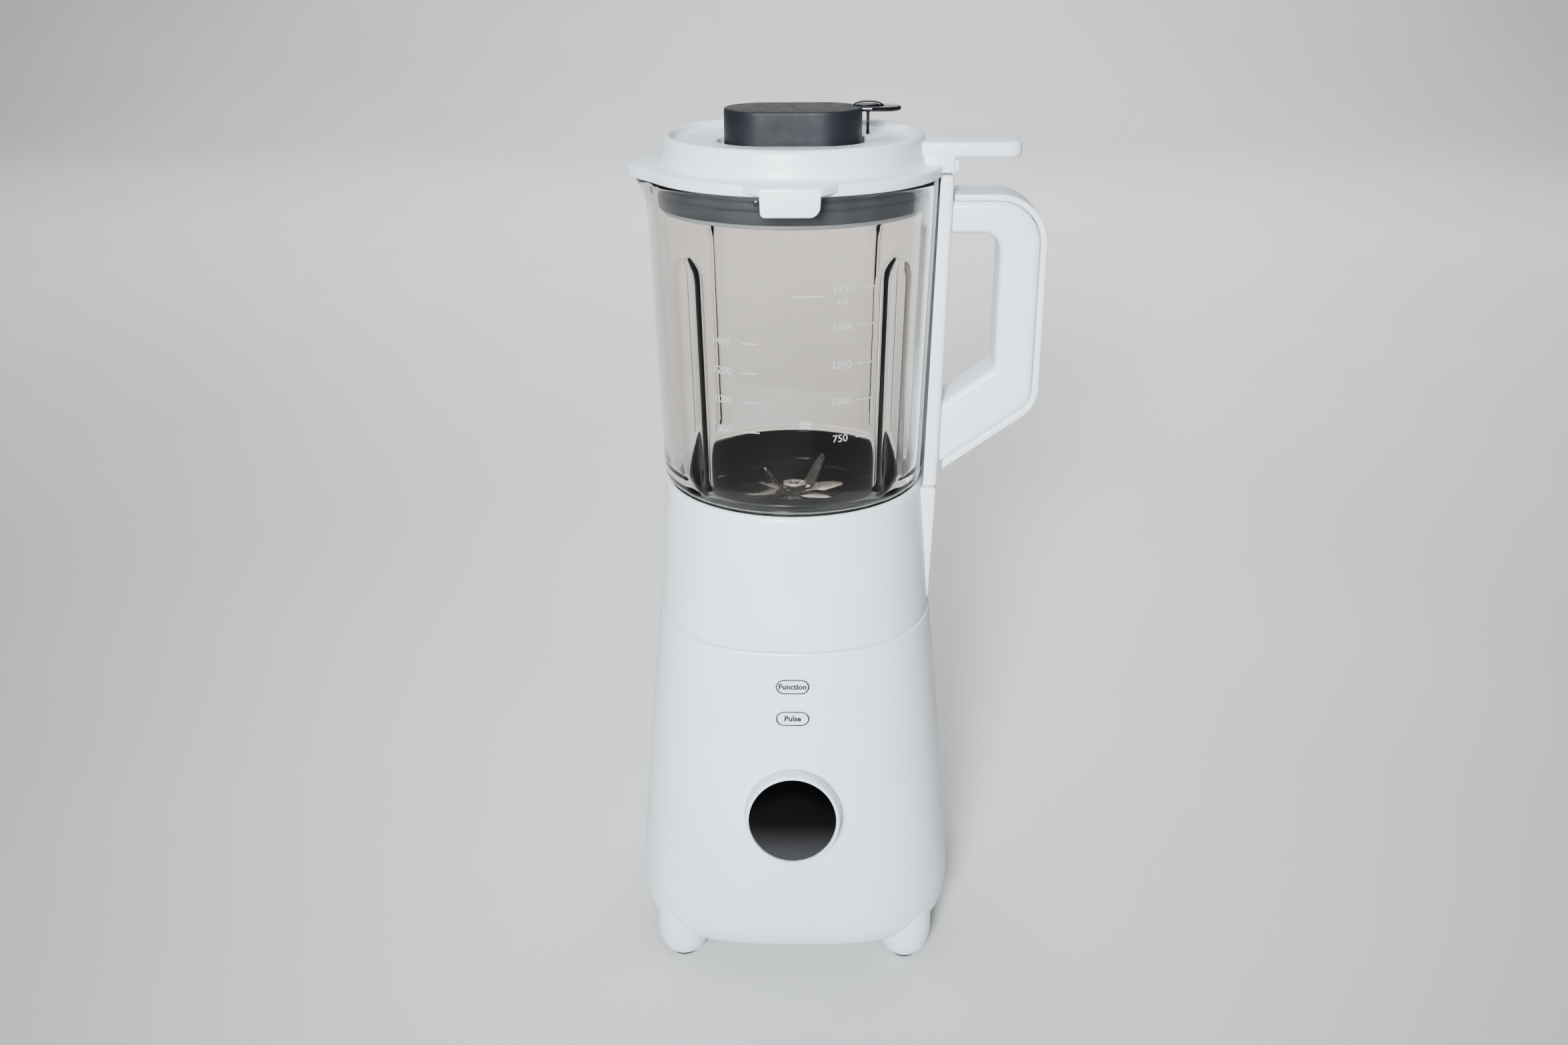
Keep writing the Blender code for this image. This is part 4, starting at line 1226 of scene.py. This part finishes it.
def addLight(name, place, aim, size, power, spread, colour):
    startPiece()
    bpy.ops.object.light_add(type="AREA", location=place)
    lamp = bpy.context.object
    lamp.name = name
    lamp.data.shape = "RECTANGLE"
    lamp.data.size, lamp.data.size_y = size
    lamp.data.energy = power
    lamp.data.spread = math.radians(spread)
    lamp.data.color = colour
    lamp.rotation_euler = (Vector(aim) - Vector(place)).to_track_quat("-Z", "Y").to_euler()


lightLook = {
    "sky": ("#F4F7FA", 0.11),
    "lamps": [  # name, place, aim, size, power, spread in degrees, colour
        ("frontSoftbox", (-0.35, -1.8, 0.95), (axisX * mm, axisY * mm, 0.3), (0.4, 0.4), 7.5, 40,
         (0.93, 0.98, 1.0)),
        ("topSoftbox", (-0.1, 0.35, 1.6), (0, 0.2, 0), (1.0, 0.8), 4.5, 120, (1, 1, 1)),
        ("backWash", (0, 1.7, 2.4), (0, 2.9, 0.2), (3.0, 0.8), 125, 160, (1, 1, 1))],
}


def buildLight():
    world = bpy.data.worlds.new("studioSky")
    bpy.context.scene.world = world
    world.use_nodes = True
    colour, strength = lightLook["sky"]
    sky = world.node_tree.nodes["Background"]
    sky.inputs["Color"].default_value = hexColour(colour)
    sky.inputs["Strength"].default_value = strength
    for lamp in lightLook["lamps"]:
        addLight(*lamp)


def buildCamera():
    look = cameraLook
    place = Vector((axisX + look["aside"], axisY - look["before"], look["height"])) * mm
    bpy.ops.object.camera_add(location=place)
    camera = bpy.context.object
    camera.name = "productCamera"
    camera.data.lens = look["lens"]
    camera.data.sensor_width = 36
    camera.data.clip_start = 0.01
    yaw, pitch, roll = (math.radians(look[k]) for k in ("yaw", "pitch", "roll"))
    forward = Vector((math.sin(yaw) * math.cos(pitch), math.cos(yaw) * math.cos(pitch),
                      -math.sin(pitch)))
    turn = forward.to_track_quat("-Z", "Y")
    camera.rotation_euler = (turn.to_matrix() @ Matrix.Rotation(roll, 3, "Z")).to_euler()
    bpy.context.scene.camera = camera


buildStage()
buildLight()
buildCamera()
print("stage, light and camera done")
